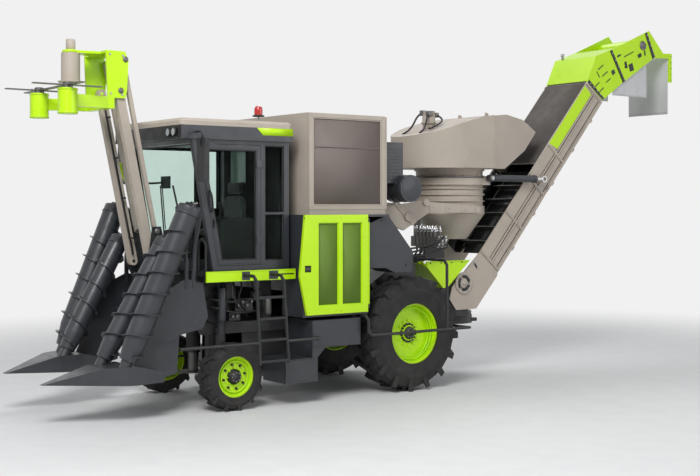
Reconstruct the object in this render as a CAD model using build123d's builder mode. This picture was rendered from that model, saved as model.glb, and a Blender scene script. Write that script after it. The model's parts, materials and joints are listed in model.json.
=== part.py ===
"""Wheeled sugarcane chopper harvester: crop dividers, topper, cab, engine bay, extractor and elevator.

Millimetres.  +Z is up, the machine drives towards -Y, and its left side is +X.
The origin is on the ground, in the middle of the machine's length and width.
Lengths along the machine are given behind the rear axle, by aft().
"""
import math
import os

from build123d import *

os.makedirs("parts", exist_ok=True)

# ---------------------------------------------------------------- driving sizes
# wheels
wheelbase = 2730.0
rear_axle_y = -570.0           # rear axle, from the middle of the machine
rear_tyre_r = 775.0
rear_tyre_width = 470.0
rear_track_half = 895.0        # middle of a rear tyre from the centre line
rear_rim_r = 405.0
rear_lug_height = 38.0
rear_lugs = 16                 # lugs in each of the two rows
front_tyre_r = 416.0
front_tyre_width = 300.0
front_track_half = 880.0
front_rim_r = 250.0
front_lug_height = 18.0
front_lugs = 13
kingpin_x = 660.0
# running clearance between faces that turn on each other
clear = 0.3

# main frame
rail_in = 520.0                # inner face of a frame rail from the centre line
rail_width = 80.0
rail_z = 900.0
rail_height = 140.0
rail_front = -2950.0
rail_rear = 900.0
deck_z = 1700.0                # top of the platform that carries the cab
deck_half = 930.0
deck_front = -3100.0
deck_rear = -1815.0
sill_height = 130.0
leg_r = 55.0

# cab
cab_half = 850.0
cab_base_z = deck_z
cab_front_low = -2950.0
cab_front_high = -3240.0
cab_rear = -1850.0
cab_top_z = 3300.0
cab_wall = 50.0
door_rear = -2250.0            # the divider post that carries the door's hinges
fascia_height = 165.0
roof_height = 85.0
roof_front = -3415.0
roof_rear = -1820.0
roof_half = 900.0
pane = 8.0

# engine bay and cooling box
bay_front = -1790.0
bay_rear = -800.0
bay_floor_z = 1115.0
bay_top_z = 2380.0
bay_half = 1130.0
bay_wall = 30.0
box_front = -1638.0
box_rear = -415.0
box_z = 2438.0
box_top_z = 3685.0
box_half = 1000.0
box_wall = 30.0

# extractor
extractor_y = 1585.0
neck_r = 500.0
neck_z = 2490.0
neck_top_z = 3040.0
cone_low_r = 260.0
cone_low_z = 2000.0
lip_r = 525.0
hood_front = 645.0
hood_r = 645.0
hood_wall = 15.0

# elevator
boom_half = 450.0
boom_plate = 20.0
boom_angle = 49.2
floor_depth = 250.0            # floor of the boom, square to its top edge
foot_y = 1463.0
foot_z = 1364.0
table_z = 880.0
bowl_floor_z = 1310.0
bowl_floor_y = 1120.0           # rear edge of the bowl's floor

# crop dividers
divider_hinge_y = -3080.0
divider_hinge_z = 1150.0
divider_pin_r = 30.0

# base cutters
cutter_x = 250.0
cutter_y = -2620.0
cutter_z = 330.0
cutter_r = 190.0
cutter_tip = 240.0
cutter_hub_height = 260.0

# knockdown roller between the dividers
roller_y = -3300.0
roller_z = 1100.0
roller_half = 470.0
roller_r = 85.0
roller_pin_r = 30.0

# topper
topper_y = -3490.0
topper_z = 1800.0
topper_half = 250.0
head_pin_y = -3920.0
head_pin_z = 3880.0
tie_y = 60.0                   # a tie's pins lie this far behind and above an arm's pins
tie_z = 380.0
topper_pin_r = 20.0


def aft(distance):
    """Y of a place that lies this far behind the rear axle."""
    return rear_axle_y + distance


front_axle_y = aft(-wheelbase)
rail_mid = rail_in + rail_width / 2


def finish(part, label):
    """Name a finished piece and write it."""
    part.label = label
    export_step(part, f"parts/{label}.step")


def outline(*points):
    """Closed outline from (distance aft, height) points, in the YZ plane."""
    Polyline(*[(aft(y), z) for y, z in points], close=True)


# ---------------------------------------------------------------- wheels
def make_tyre(label, radius, width, rim_r, x_mid, axle_y, side, lugs, lug_height):
    """Tyre with two rows of slanted lugs, its round cut into one flat per lug."""
    carcass_r = radius - lug_height
    half = width / 2
    shoulder = 0.16 * width
    x_of = lambda u: side * (x_mid + u)
    # rings across the tyre: distance from its middle, radius
    rings = (
        (-half, rim_r + 0.55 * (carcass_r - rim_r)),
        (-half + shoulder * 0.5, carcass_r - shoulder * 0.4),
        (-half + shoulder * 1.4, carcass_r),
        (half - shoulder * 1.4, carcass_r),
        (half - shoulder * 0.5, carcass_r - shoulder * 0.4),
        (half, rim_r + 0.55 * (carcass_r - rim_r)),
    )
    with BuildPart() as tyre:
        for u, ring_r in rings:
            with BuildSketch(Plane.YZ.offset(x_of(u))):
                with Locations((axle_y, radius)):
                    RegularPolygon(ring_r, 2 * lugs, rotation=90)
        loft(ruled=True)
        with BuildSketch(Plane.YZ.offset(x_of(-half))):
            with Locations((axle_y, radius)):
                Circle(rim_r)
        extrude(amount=side * width, mode=Mode.SUBTRACT)
        # the tread bars, flat topped, each drawn on a plane across its own radius
        pitch = 360 / lugs
        bar = 0.052 * radius
        slant = math.tan(math.radians(40)) * half * 0.35
        top_r = math.sqrt(radius ** 2 - (slant + bar) ** 2)
        for reach, phase in ((0.96, 0.0), (-0.96, 0.5)):
            x_in = x_of(0.02 * half * reach)
            x_out = x_of(half * reach)
            for count in range(lugs):
                turn = math.radians((count + phase) * pitch)
                outward = Vector(0, math.sin(turn), math.cos(turn))
                top = Plane(origin=Vector(0, axle_y, radius) + outward * top_r, x_dir=(1, 0, 0), z_dir=outward)
                with BuildSketch(top):
                    with BuildLine():
                        Polyline((x_in, -slant - bar), (x_out, slant - bar), (x_out, slant + bar),
                                 (x_in, bar - slant), close=True)
                    make_face()
        extrude(amount=-4 * lug_height)
    finish(tyre.part, label)


def make_rim(label, rim_r, width, x_mid, axle_y, wheel_r, side, dish, hub_r, bolts):
    """Dished wheel: a barrel with flanges and a disc set in from the outer face."""
    half = width / 2
    x_of = lambda u: side * (x_mid + u)
    flange = 22.0
    wall = 14.0
    disc = 16.0
    face = half * 0.86 - dish
    r_of = lambda r: axle_y + r
    outer = rim_r - clear
    with BuildPart() as rim:
        with BuildSketch(Plane.XY.offset(wheel_r)):
            with BuildLine():
                Polyline(
                    (x_of(-half * 0.86), r_of(outer)),
                    (x_of(half * 0.86), r_of(outer)),
                    (x_of(half * 0.86), r_of(outer - flange)),
                    (x_of(face + disc + wall), r_of(outer - wall - flange)),
                    (x_of(face + disc), r_of(outer - 2 * flange - wall)),
                    (x_of(face + disc), r_of(hub_r * 0.55)),
                    (x_of(face), r_of(hub_r * 0.55)),
                    (x_of(face), r_of(outer - wall - flange)),
                    (x_of(-half * 0.86), r_of(outer - flange)),
                    close=True,
                )
            make_face()
        revolve(axis=Axis((0, axle_y, wheel_r), (1, 0, 0)))
        # hub cap and wheel nuts on the disc
        with BuildSketch(Plane.YZ.offset(x_of(face + disc))):
            with Locations((axle_y, wheel_r)):
                Circle(hub_r * 0.62)
                with PolarLocations(hub_r, bolts):
                    RegularPolygon(hub_r * 0.1, 6)
        extrude(amount=side * 26)
    finish(rim.part, label)
    return rim


sides = (("left", 1), ("right", -1))
for name, side in sides:
    make_tyre(f"rear_tyre_{name}", rear_tyre_r, rear_tyre_width, rear_rim_r, rear_track_half,
              aft(0), side, rear_lugs, rear_lug_height)
    make_rim(f"rear_rim_{name}", rear_rim_r, rear_tyre_width, rear_track_half, aft(0),
             rear_tyre_r, side, 150.0, 170.0, 12)
    make_tyre(f"front_tyre_{name}", front_tyre_r, front_tyre_width, front_rim_r, front_track_half,
              front_axle_y, side, front_lugs, front_lug_height)
    make_rim(f"front_rim_{name}", front_rim_r, front_tyre_width, front_track_half, front_axle_y,
             front_tyre_r, side, 60.0, 105.0, 8)

# ---------------------------------------------------------------- axles
rear_disc_x = rear_track_half + rear_tyre_width / 2 * 0.86 - 150.0
front_disc_x = front_track_half + front_tyre_width / 2 * 0.86 - 60.0
rear_hub_r = 190.0
axle_tube_r = 100.0

with BuildPart() as rear_axle:
    with BuildSketch(Plane.YZ.offset(-rail_in - rail_width)):
        with Locations((aft(0), rear_tyre_r)):
            Circle(axle_tube_r)
    extrude(amount=2 * (rail_in + rail_width))
    for side in (1, -1):
        with BuildSketch(Plane.YZ.offset(side * (rail_in + rail_width))):
            with Locations((aft(0), rear_tyre_r)):
                Circle(rear_hub_r)
        extrude(amount=side * (rear_disc_x - clear - rail_in - rail_width))
        # pad that bolts the axle up to the frame rail
        with BuildSketch(Plane.XY.offset(rail_z)):
            with Locations((side * rail_mid, aft(0))):
                Rectangle(rail_width, 260)
        extrude(amount=-(rail_z - rear_tyre_r))
finish(rear_axle.part, "rear_axle")

knuckle_top = 600.0
for name, side in sides:
    with BuildPart() as knuckle:
        with BuildSketch(Plane.XY.offset(front_tyre_r - 90)):
            with Locations((side * kingpin_x, front_axle_y)):
                Circle(leg_r + 5)
        extrude(amount=knuckle_top - clear - front_tyre_r + 90)
        with BuildSketch(Plane.YZ.offset(side * kingpin_x)):
            with Locations((front_axle_y, front_tyre_r)):
                Circle(45)
        extrude(amount=side * (front_disc_x - clear - kingpin_x))
        with BuildSketch(Plane.YZ.offset(side * (front_disc_x - clear))):
            with Locations((front_axle_y, front_tyre_r)):
                Circle(110)
        extrude(amount=-side * 90)
        # steering arm
        with BuildSketch(Plane.XY.offset(front_tyre_r + 60)):
            with Locations((side * kingpin_x, front_axle_y + 100)):
                Rectangle(50, 200)
        extrude(amount=25)
    finish(knuckle.part, f"knuckle_{name}")

# ---------------------------------------------------------------- main frame
bearer_z = 1400.0
bearer_height = 50.0
bearer_rows = (-1450.0, -850.0)
with BuildPart() as main_frame:
    for side in (1, -1):
        with BuildSketch(Plane.XY.offset(rail_z)):
            with Locations((side * rail_mid, aft((rail_front + rail_rear) / 2))):
                Rectangle(rail_width, rail_rear - rail_front)
        extrude(amount=rail_height)
        # tower that carries the platform, and its rear post
        for post_front, post_rear in ((rail_front, rail_front + 420), (-2080.0, -1960.0)):
            with BuildSketch(Plane.XY.offset(rail_z + rail_height)):
                with Locations((side * rail_mid, aft((post_front + post_rear) / 2))):
                    Rectangle(rail_width, post_rear - post_front)
            extrude(amount=deck_z - 60 - rail_z - rail_height)
        # front leg and the plates that hold it to the tower
        with BuildSketch(Plane.XY.offset(knuckle_top)):
            with Locations((side * kingpin_x, front_axle_y)):
                Circle(leg_r)
        extrude(amount=900)
        for plate_z in (rail_z + 20, rail_z + 480):
            with BuildSketch(Plane.XY.offset(plate_z)):
                with Locations((side * (rail_mid + kingpin_x) / 2, front_axle_y)):
                    Rectangle(kingpin_x - rail_mid, 150)
            extrude(amount=60)
        # arm and pin that carry the knockdown roller
        with BuildSketch(Plane.YZ.offset(side * rail_in)):
            with BuildLine():
                outline((rail_front, roller_z - 100), (rail_front, roller_z + 100), (roller_y, roller_z + 60),
                        (roller_y - 60, roller_z), (roller_y, roller_z - 60))
            make_face()
        extrude(amount=-side * 20)
        with BuildSketch(Plane.YZ.offset(side * rail_in)):
            with Locations((aft(roller_y), roller_z)):
                Circle(roller_pin_r)
        extrude(amount=side * (roller_half - 40 - rail_in))
        # nose bracket and pin that carry the crop divider
        with BuildSketch(Plane.YZ.offset(side * rail_in)):
            with BuildLine():
                outline((rail_front, rail_z), (rail_front, 1300), (divider_hinge_y, divider_hinge_z + 60),
                        (divider_hinge_y - 50, divider_hinge_z), (divider_hinge_y, divider_hinge_z - 60))
            make_face()
        extrude(amount=side * rail_width)
        with BuildSketch(Plane.YZ.offset(side * rail_in)):
            with Locations((aft(divider_hinge_y), divider_hinge_z)):
                Circle(divider_pin_r)
        extrude(amount=side * (rail_width + 50))
        # posts under the engine bearers
        for row in bearer_rows:
            with BuildSketch(Plane.XY.offset(rail_z + rail_height)):
                with Locations((side * rail_mid, aft(row))):
                    Rectangle(rail_width, 80)
            extrude(amount=bearer_z - rail_z - rail_height)
    for row in bearer_rows:
        with BuildSketch(Plane.XY.offset(bearer_z)):
            with Locations((0, aft(row))):
                Rectangle(2 * (rail_in + rail_width), 80)
        extrude(amount=bearer_height)
    # platform, with a cross beam at its front
    with BuildSketch(Plane.XY.offset(deck_z - 60)):
        with Locations((0, aft((deck_front + deck_rear) / 2))):
            Rectangle(2 * deck_half, deck_rear - deck_front)
    extrude(amount=60)
    # rear cross beam
    with BuildSketch(Plane.XY.offset(rail_z)):
        with Locations((0, aft(rail_rear - 60))):
            Rectangle(2 * (rail_in + rail_width), 120)
    extrude(amount=rail_height)
    # gear legs over the base cutters, hung from a cross beam
    with BuildSketch(Plane.XY.offset(cutter_z + cutter_hub_height + clear)):
        for side in (1, -1):
            with Locations((side * cutter_x, aft(cutter_y))):
                Circle(95)
    extrude(amount=rail_z - cutter_z - cutter_hub_height - clear)
    with BuildSketch(Plane.XY.offset(rail_z)):
        with Locations((0, aft(cutter_y))):
            Rectangle(2 * rail_in, 240)
    extrude(amount=rail_height)
    # cheeks that carry the topper's arms and ties on pins
    for side in (1, -1):
        with BuildSketch(Plane.YZ.offset(side * (topper_half + 45))):
            with BuildLine():
                outline((deck_front, deck_z - 60), (deck_front, deck_z - 200), (topper_y + 60, topper_z - 260),
                        (topper_y - 70, topper_z), (topper_y + tie_y - 60, topper_z + tie_z + 60),
                        (topper_y + tie_y + 50, topper_z + tie_z + 60), (topper_y + 200, topper_z + 60),
                        (deck_front, deck_z))
            make_face()
            with Locations((aft(topper_y), topper_z)):
                Circle(70)
        extrude(amount=side * 25)
        with BuildSketch(Plane.YZ.offset(side * (topper_half - 45))):
            with Locations((aft(topper_y), topper_z), (aft(topper_y + tie_y), topper_z + tie_z)):
                Circle(topper_pin_r)
        extrude(amount=side * 115)
finish(main_frame.part, "main_frame")

# ---------------------------------------------------------------- feed box and chopper
feed_wall = 20.0
with BuildPart() as feed_box:
    with BuildSketch(Plane.YZ.offset(-rail_in)):
        with BuildLine():
            outline((-2340, 360), (-2000, 380), (-450, 905), (500, 970), (500, 1690), (150, 1690),
                    (-450, 1330), (-2340, 900))
        make_face()
    extrude(amount=2 * rail_in)
    with BuildSketch(Plane.YZ.offset(-rail_in + feed_wall)):
        with BuildLine():
            outline((-2400, 385), (-2000, 405), (-450, 925), (600, 990), (600, 1670), (155, 1670),
                    (-450, 1310), (-2400, 870))
        make_face()
    extrude(amount=2 * (rail_in - feed_wall), mode=Mode.SUBTRACT)
finish(feed_box.part, "feed_box")

# base cutters: a disc with blades under a gear leg
for name, side in sides:
    with BuildPart() as cutter:
        with BuildSketch(Plane.XY.offset(cutter_z)):
            with Locations((side * cutter_x, aft(cutter_y))):
                Circle(cutter_r)
                with PolarLocations(cutter_r - 5, 5):
                    Rectangle(2 * (cutter_tip - cutter_r), 60)
        extrude(amount=14)
        with BuildSketch(Plane.XY.offset(cutter_z)):
            with Locations((side * cutter_x, aft(cutter_y))):
                Circle(70)
        extrude(amount=cutter_hub_height)
    finish(cutter.part, f"base_cutter_{name}")

# knockdown roller: a tube with fins, on pins at its ends
with BuildPart() as roller:
    with BuildSketch(Plane.YZ.offset(-roller_half)):
        with Locations((aft(roller_y), roller_z)):
            Circle(roller_r)
            with PolarLocations(roller_r + 25, 6):
                Rectangle(70, 12)
            Circle(roller_pin_r + clear, mode=Mode.SUBTRACT)
    extrude(amount=2 * roller_half)
finish(roller.part, "knockdown_roller")

# ---------------------------------------------------------------- engine bay
with BuildPart() as engine:
    with BuildSketch(Plane.XY.offset(bearer_z + bearer_height)):
        with Locations((0, aft(sum(bearer_rows) / 2))):
            Rectangle(760, bearer_rows[1] - bearer_rows[0] + 80)
    extrude(amount=720)
finish(engine.part, "engine_block")

with BuildPart() as housing:
    # bulkheads before and behind the bay
    for y_low in (bay_front, bay_rear):
        with BuildSketch(Plane.XY.offset(bearer_z)):
            with Locations((0, aft(y_low + bay_wall / 2))):
                Rectangle(2 * (bay_half - 45), bay_wall)
        extrude(amount=bay_top_z - bay_wall - bearer_z)
        for side in (1, -1):
            inner = rail_in + rail_width
            with BuildSketch(Plane.XY.offset(bay_floor_z - bay_wall)):
                with Locations((side * (inner + bay_half - 45) / 2, aft(y_low + bay_wall / 2))):
                    Rectangle(bay_half - 45 - inner, bay_wall)
            extrude(amount=bearer_z - bay_floor_z + bay_wall)
    # top deck, which carries the cooling box
    with BuildSketch(Plane.XY.offset(bay_top_z)):
        with Locations((0, aft((bay_front + box_rear) / 2))):
            Rectangle(2 * (bay_half - 45), box_rear - bay_front)
    extrude(amount=-bay_wall)
    for side in (1, -1):
        inner = rail_in + rail_width
        with BuildSketch(Plane.XY.offset(bay_floor_z)):
            with Locations((side * (inner + bay_half - 45) / 2, aft((bay_front + bay_rear + bay_wall) / 2))):
                Rectangle(bay_half - 45 - inner, bay_rear + bay_wall - bay_front)
        extrude(amount=-bay_wall)
    # right side panel
    with BuildSketch(Plane.YZ.offset(-bay_half)):
        with BuildLine():
            outline((bay_front, bay_top_z), (-1868, 1606), (-1761, bay_floor_z - bay_wall),
                    (bay_rear + bay_wall, bay_floor_z - bay_wall), (bay_rear + bay_wall, bay_top_z))
        make_face()
    extrude(amount=45)
    # hinge knuckles of the service door, above and below the door's own barrel
    for knuckle_z in (bay_floor_z + 100 - clear - 50, bay_top_z - 100 + clear):
        with BuildSketch(Plane.XY.offset(knuckle_z)):
            with Locations((bay_half - 20, aft(bay_rear + 22))):
                Circle(14)
            with Locations((bay_half - 35, aft(bay_rear + 22))):
                Rectangle(30, 14)
        extrude(amount=50)
    # oil tanks behind the bay, one on each side
    for side in (1, -1):
        with BuildSketch(Plane.YZ.offset(side * (rail_in + rail_width))):
            with BuildLine():
                outline((bay_rear + bay_wall, 2230), (-430, bay_top_z - bay_wall), (-350, bay_top_z - bay_wall),
                        (65, 1870), (50, 1600), (-250, 1600), (-416, 1667), (bay_rear + bay_wall, 1676))
            make_face()
        extrude(amount=side * (box_half - rail_in - rail_width))
finish(housing.part, "engine_housing")

door_gap = 5.0
with BuildPart() as engine_door:
    with BuildSketch(Plane.YZ.offset(bay_half - 45 + door_gap)):
        with BuildLine():
            outline((bay_front, bay_top_z), (-1868, 1606), (-1761, bay_floor_z), (bay_rear, bay_floor_z),
                    (bay_rear, bay_top_z))
        make_face()
    extrude(amount=45 - door_gap)
    # two tall grilles
    with BuildSketch(Plane.YZ.offset(bay_half - 45 + door_gap)):
        for grille in (-1429.0, -1053.0):
            with Locations((aft(grille), (1225 + 2280) / 2)):
                Rectangle(312, 1055)
    extrude(amount=45, mode=Mode.SUBTRACT)
    with BuildSketch(Plane.YZ.offset(bay_half - 45 + door_gap + 8)):
        for grille in (-1429.0, -1053.0):
            with Locations((aft(grille), (1225 + 2280) / 2)):
                Rectangle(312, 1055)
    extrude(amount=8)
    # hinge barrels along the rear edge
    with BuildSketch(Plane.XY.offset(bay_floor_z + 100)):
        with Locations((bay_half - 20, aft(bay_rear + 22))):
            Circle(14)
    extrude(amount=bay_top_z - bay_floor_z - 200)
    with BuildSketch(Plane.XY.offset(bay_floor_z + 100)):
        with Locations((bay_half - 25, aft(bay_rear + 8))):
            Rectangle(20, 30)
    extrude(amount=bay_top_z - bay_floor_z - 200)
finish(engine_door.part, "engine_door")

# fuel tank and the box below it, one on each side
with BuildPart() as side_tanks:
    for side in (1, -1):
        with BuildSketch(Plane.YZ.offset(side * (rail_in + rail_width))):
            with BuildLine():
                outline((-1680, 1045), (-925, 1045), (-925, 700), (-1480, 700), (-1600, 580), (-1600, 280),
                        (-2080, 280), (-2080, 580), (-1680, 580))
            make_face()
        extrude(amount=side * (bay_half - rail_in - rail_width))
finish(side_tanks.part, "side_tanks")

# ---------------------------------------------------------------- cooling box
with BuildPart() as cooling_box:
    with BuildSketch(Plane.XY.offset(bay_top_z)):
        with Locations((0, aft((box_front + box_rear) / 2))):
            Rectangle(2 * box_half, box_rear - box_front)
    extrude(amount=box_top_z - bay_top_z)
    with BuildSketch(Plane.YZ.offset(box_half)):
        with Locations((aft((box_front + box_rear) / 2), (box_z + box_top_z) / 2)):
            Rectangle(box_rear - box_front, box_top_z - box_z)
    extrude(amount=-40, mode=Mode.SUBTRACT)
    with BuildSketch(Plane.YZ.offset(box_half - 40)):
        with Locations((aft((box_front + box_rear) / 2), (box_z + box_top_z) / 2)):
            Rectangle(box_rear - box_front - 2 * box_wall, box_top_z - box_z - 2 * box_wall)
    extrude(amount=-260, mode=Mode.SUBTRACT)
    with BuildSketch(Plane.YZ.offset(-box_half)):
        with Locations((aft((box_front + box_rear) / 2), (box_z + box_top_z) / 2)):
            Rectangle(box_rear - box_front - 2 * box_wall, box_top_z - box_z - 2 * box_wall)
    extrude(amount=box_half + 500, mode=Mode.SUBTRACT)
    with BuildSketch(Plane.YZ.offset(-box_half)):
        with Locations((aft((box_front + box_rear) / 2), (box_z + box_top_z) / 2)):
            Rectangle(box_rear - box_front, box_top_z - box_z)
    extrude(amount=box_wall)
    # hinge knuckles of the door, above and below the door's own barrel
    for knuckle_z in (box_z + 60 - clear - 50, box_top_z - 60 + clear):
        with BuildSketch(Plane.XY.offset(knuckle_z)):
            with Locations((box_half - 15, aft(box_rear + 20))):
                Circle(14)
            with Locations((box_half - 37.5, aft(box_rear + 20))):
                Rectangle(45, 14)
            with Locations((box_half - 51, aft(box_rear + 10))):
                Rectangle(18, 30)
        extrude(amount=50)
finish(cooling_box.part, "cooling_box")

with BuildPart() as cooling_door:
    with BuildSketch(Plane.YZ.offset(box_half - 40 + door_gap)):
        with Locations((aft((box_front + box_rear) / 2), (box_z + box_top_z) / 2)):
            Rectangle(box_rear - box_front, box_top_z - box_z - 2 * door_gap)
    extrude(amount=40 - door_gap)
    with BuildSketch(Plane.YZ.offset(box_half)):
        with Locations((aft((box_front + box_rear) / 2), (box_z + box_top_z) / 2)):
            Rectangle(box_rear - box_front - 120, box_top_z - box_z - 120)
    extrude(amount=-20, mode=Mode.SUBTRACT)
    with BuildSketch(Plane.XY.offset(box_z + 60)):
        with Locations((box_half - 15, aft(box_rear + 20))):
            Circle(14)
    extrude(amount=box_top_z - box_z - 120)
    with BuildSketch(Plane.XY.offset(box_z + 60)):
        with Locations((box_half - 20, aft(box_rear + 4))):
            Rectangle(20, 30)
    extrude(amount=box_top_z - box_z - 120)
finish(cooling_door.part, "cooling_door")

# ---------------------------------------------------------------- cab
def cab_front(z):
    """Distance aft of the leaning cab front at a height."""
    share = (z - cab_base_z) / (cab_top_z - cab_base_z)
    return cab_front_low + share * (cab_front_high - cab_front_low)


post = 75.0
window_low = cab_base_z + 110
window_high = cab_top_z - 50
door_sill = cab_base_z + 60


def side_opening(front, rear, low, high):
    """Outline of an opening in the cab's side, its front edge along the leaning front post."""
    lean = front is None
    outline((cab_front(low) + post if lean else front, low), (cab_front(high) + post if lean else front, high),
            (rear, high), (rear, low))


with BuildPart() as cab_shell:
    with BuildSketch(Plane.YZ.offset(-cab_half)):
        with BuildLine():
            outline((cab_front_low, cab_base_z), (cab_front_high, cab_top_z), (cab_rear, cab_top_z),
                    (cab_rear, cab_base_z))
        make_face()
    extrude(amount=2 * cab_half)
    with BuildSketch(Plane.YZ.offset(-cab_half + cab_wall)):
        with BuildLine():
            outline((cab_front(cab_base_z + 60) + cab_wall, cab_base_z + 60),
                    (cab_front(cab_top_z - 30) + cab_wall, cab_top_z - 30),
                    (cab_rear - cab_wall, cab_top_z - 30), (cab_rear - cab_wall, cab_base_z + 60))
        make_face()
    extrude(amount=2 * (cab_half - cab_wall), mode=Mode.SUBTRACT)
    # door opening and rear pane, left side
    with BuildSketch(Plane.YZ.offset(cab_half)):
        with BuildLine():
            side_opening(None, door_rear - 20, door_sill, window_high)
        make_face()
        with BuildLine():
            side_opening(door_rear + 40, cab_rear - post, window_low, window_high)
        make_face()
    extrude(amount=-cab_wall, mode=Mode.SUBTRACT)
    # two panes, right side
    with BuildSketch(Plane.YZ.offset(-cab_half)):
        with BuildLine():
            side_opening(None, door_rear - 20, window_low, window_high)
        make_face()
        with BuildLine():
            side_opening(door_rear + 40, cab_rear - post, window_low, window_high)
        make_face()
    extrude(amount=cab_wall, mode=Mode.SUBTRACT)
    # windscreen and rear window
    with BuildSketch(Plane.XZ.offset(-aft(cab_rear))):
        with Locations((0, (window_low + 500 + window_high) / 2)):
            Rectangle(2 * (cab_half - post - 150), window_high - window_low - 500)
    extrude(amount=cab_wall, mode=Mode.SUBTRACT)
    with BuildSketch(Plane.XZ.offset(-aft(cab_front_high - 60))):
        with Locations((0, (window_low + window_high) / 2)):
            Rectangle(2 * (cab_half - post), window_high - window_low)
    extrude(amount=-420, mode=Mode.SUBTRACT)
    # roof fascia
    with BuildSketch(Plane.XY.offset(cab_top_z)):
        with Locations((0, aft((roof_front + roof_rear) / 2))):
            Rectangle(2 * roof_half, roof_rear - roof_front)
    extrude(amount=fascia_height)
finish(cab_shell.part, "cab_shell")

with BuildPart() as cab_roof:
    with BuildSketch(Plane.XY.offset(cab_top_z + fascia_height)):
        with Locations((0, aft((roof_front + roof_rear) / 2))):
            RectangleRounded(2 * roof_half, roof_rear - roof_front, 60)
    extrude(amount=roof_height)
    chamfer(cab_roof.faces().sort_by(Axis.Z)[-1].edges(), 35)
finish(cab_roof.part, "cab_roof")

front_lean = math.degrees(math.atan2(cab_front_low - cab_front_high, cab_top_z - cab_base_z))
with BuildPart() as cab_glass:
    # side panes: rear left, then front and rear right
    for x_face, spans in (
        (cab_half - 20, ((door_rear + 40, cab_rear - post, window_low),)),
        (-cab_half + 20 + pane, ((None, door_rear - 20, window_low), (door_rear + 40, cab_rear - post, window_low))),
    ):
        for front, rear, low in spans:
            with BuildSketch(Plane.YZ.offset(x_face)):
                with BuildLine():
                    side_opening(front, rear, low, window_high)
                make_face()
                offset(amount=-clear, mode=Mode.REPLACE)
            extrude(amount=-pane)
    # rear window
    with BuildSketch(Plane.XZ.offset(-aft(cab_rear - 20))):
        with Locations((0, (window_low + 500 + window_high) / 2)):
            Rectangle(2 * (cab_half - post - 150 - clear), window_high - window_low - 500 - 2 * clear)
    extrude(amount=pane)
    # windscreen, which leans with the front posts
    with BuildSketch(Plane.YZ.offset(-cab_half + post + clear)):
        with BuildLine():
            low = window_low + clear
            high = window_high - clear
            outline((cab_front(low) + 15, low), (cab_front(high) + 15, high),
                    (cab_front(high) + 15 + pane, high), (cab_front(low) + 15 + pane, low))
        make_face()
    extrude(amount=2 * (cab_half - post - clear))
finish(cab_glass.part, "cab_glass")

door_post = 60.0
with BuildPart() as cab_door:
    with BuildSketch(Plane.YZ.offset(cab_half - cab_wall)):
        with BuildLine():
            side_opening(None, door_rear - 20, door_sill, window_high)
        make_face()
        offset(amount=-door_gap, mode=Mode.REPLACE)
    extrude(amount=cab_wall)
    with BuildSketch(Plane.YZ.offset(cab_half - cab_wall)):
        with BuildLine():
            side_opening(None, door_rear - 20, door_sill, window_high)
        make_face()
        offset(amount=-door_gap - door_post, mode=Mode.REPLACE)
    extrude(amount=cab_wall, mode=Mode.SUBTRACT)
    # two hinge knuckles on the divider post
    for hinge_z in (cab_base_z + 330, cab_top_z - 330):
        with BuildSketch(Plane.XY.offset(hinge_z)):
            with Locations((cab_half + 14 + clear, aft(door_rear))):
                Circle(14)
            with Locations((cab_half + 14 + clear, aft(door_rear - 45))):
                Rectangle(18, 90)
        extrude(amount=90)
        with BuildSketch(Plane.XY.offset(hinge_z)):
            with Locations((cab_half + 8, aft(door_rear - 60))):
                Rectangle(20, 50)
        extrude(amount=90)
finish(cab_door.part, "cab_door")

with BuildPart() as cab_door_glass:
    with BuildSketch(Plane.YZ.offset(cab_half - 20)):
        with BuildLine():
            side_opening(None, door_rear - 20, door_sill, window_high)
        make_face()
        offset(amount=-door_gap - door_post - clear, mode=Mode.REPLACE)
    extrude(amount=-pane)
finish(cab_door_glass.part, "cab_door_glass")

floor_z = cab_base_z + 60
seat_y = -2330.0
with BuildPart() as cab_seat:
    with BuildSketch(Plane.XY.offset(floor_z)):
        with Locations((0, aft(seat_y))):
            Rectangle(320, 320)
    extrude(amount=330)
    with BuildSketch(Plane.XY.offset(floor_z + 330)):
        with Locations((0, aft(seat_y))):
            RectangleRounded(500, 500, 60)
    extrude(amount=130)
    with BuildSketch(Plane.XY.offset(floor_z + 460)):
        with Locations((0, aft(seat_y + 190))):
            RectangleRounded(480, 120, 40)
    extrude(amount=600)
finish(cab_seat.part, "cab_seat")

with BuildPart() as cab_controls:
    # steering column, wheel and the two side consoles
    with BuildSketch(Plane.XY.offset(floor_z)):
        with Locations((0, aft(-2800))):
            Rectangle(140, 120)
    extrude(amount=680)
    with BuildSketch(Plane.XY.offset(floor_z + 680)):
        with Locations((0, aft(-2800))):
            Circle(190)
    extrude(amount=28)
    for side in (1, -1):
        with BuildSketch(Plane.XY.offset(floor_z)):
            with Locations((side * 370, aft(seat_y - 30))):
                Rectangle(170, 520)
        extrude(amount=560)
finish(cab_controls.part, "cab_controls")

with BuildPart() as cab_sill:
    for side in (1, -1):
        with BuildSketch(Plane.XY.offset(deck_z - sill_height)):
            with Locations((side * (deck_half + 10), aft((deck_front + deck_rear) / 2))):
                Rectangle(20, deck_rear - deck_front)
        extrude(amount=sill_height)
finish(cab_sill.part, "cab_sill")

# ---------------------------------------------------------------- ladder and rails
tube_r = 20.0
ladder_x = 1210.0
rail_x = 1230.0
mirror_x = 1080.0
mirror_y = -3220.0
mirror_z = 3290.0
mirror_height = 520.0
handrail_y = deck_front + 45
handrail_out = 850.0
handrail_height = 385.0
guard_z = 830.0
guard_front = -3600.0
guard_rear = -1600.0


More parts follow.
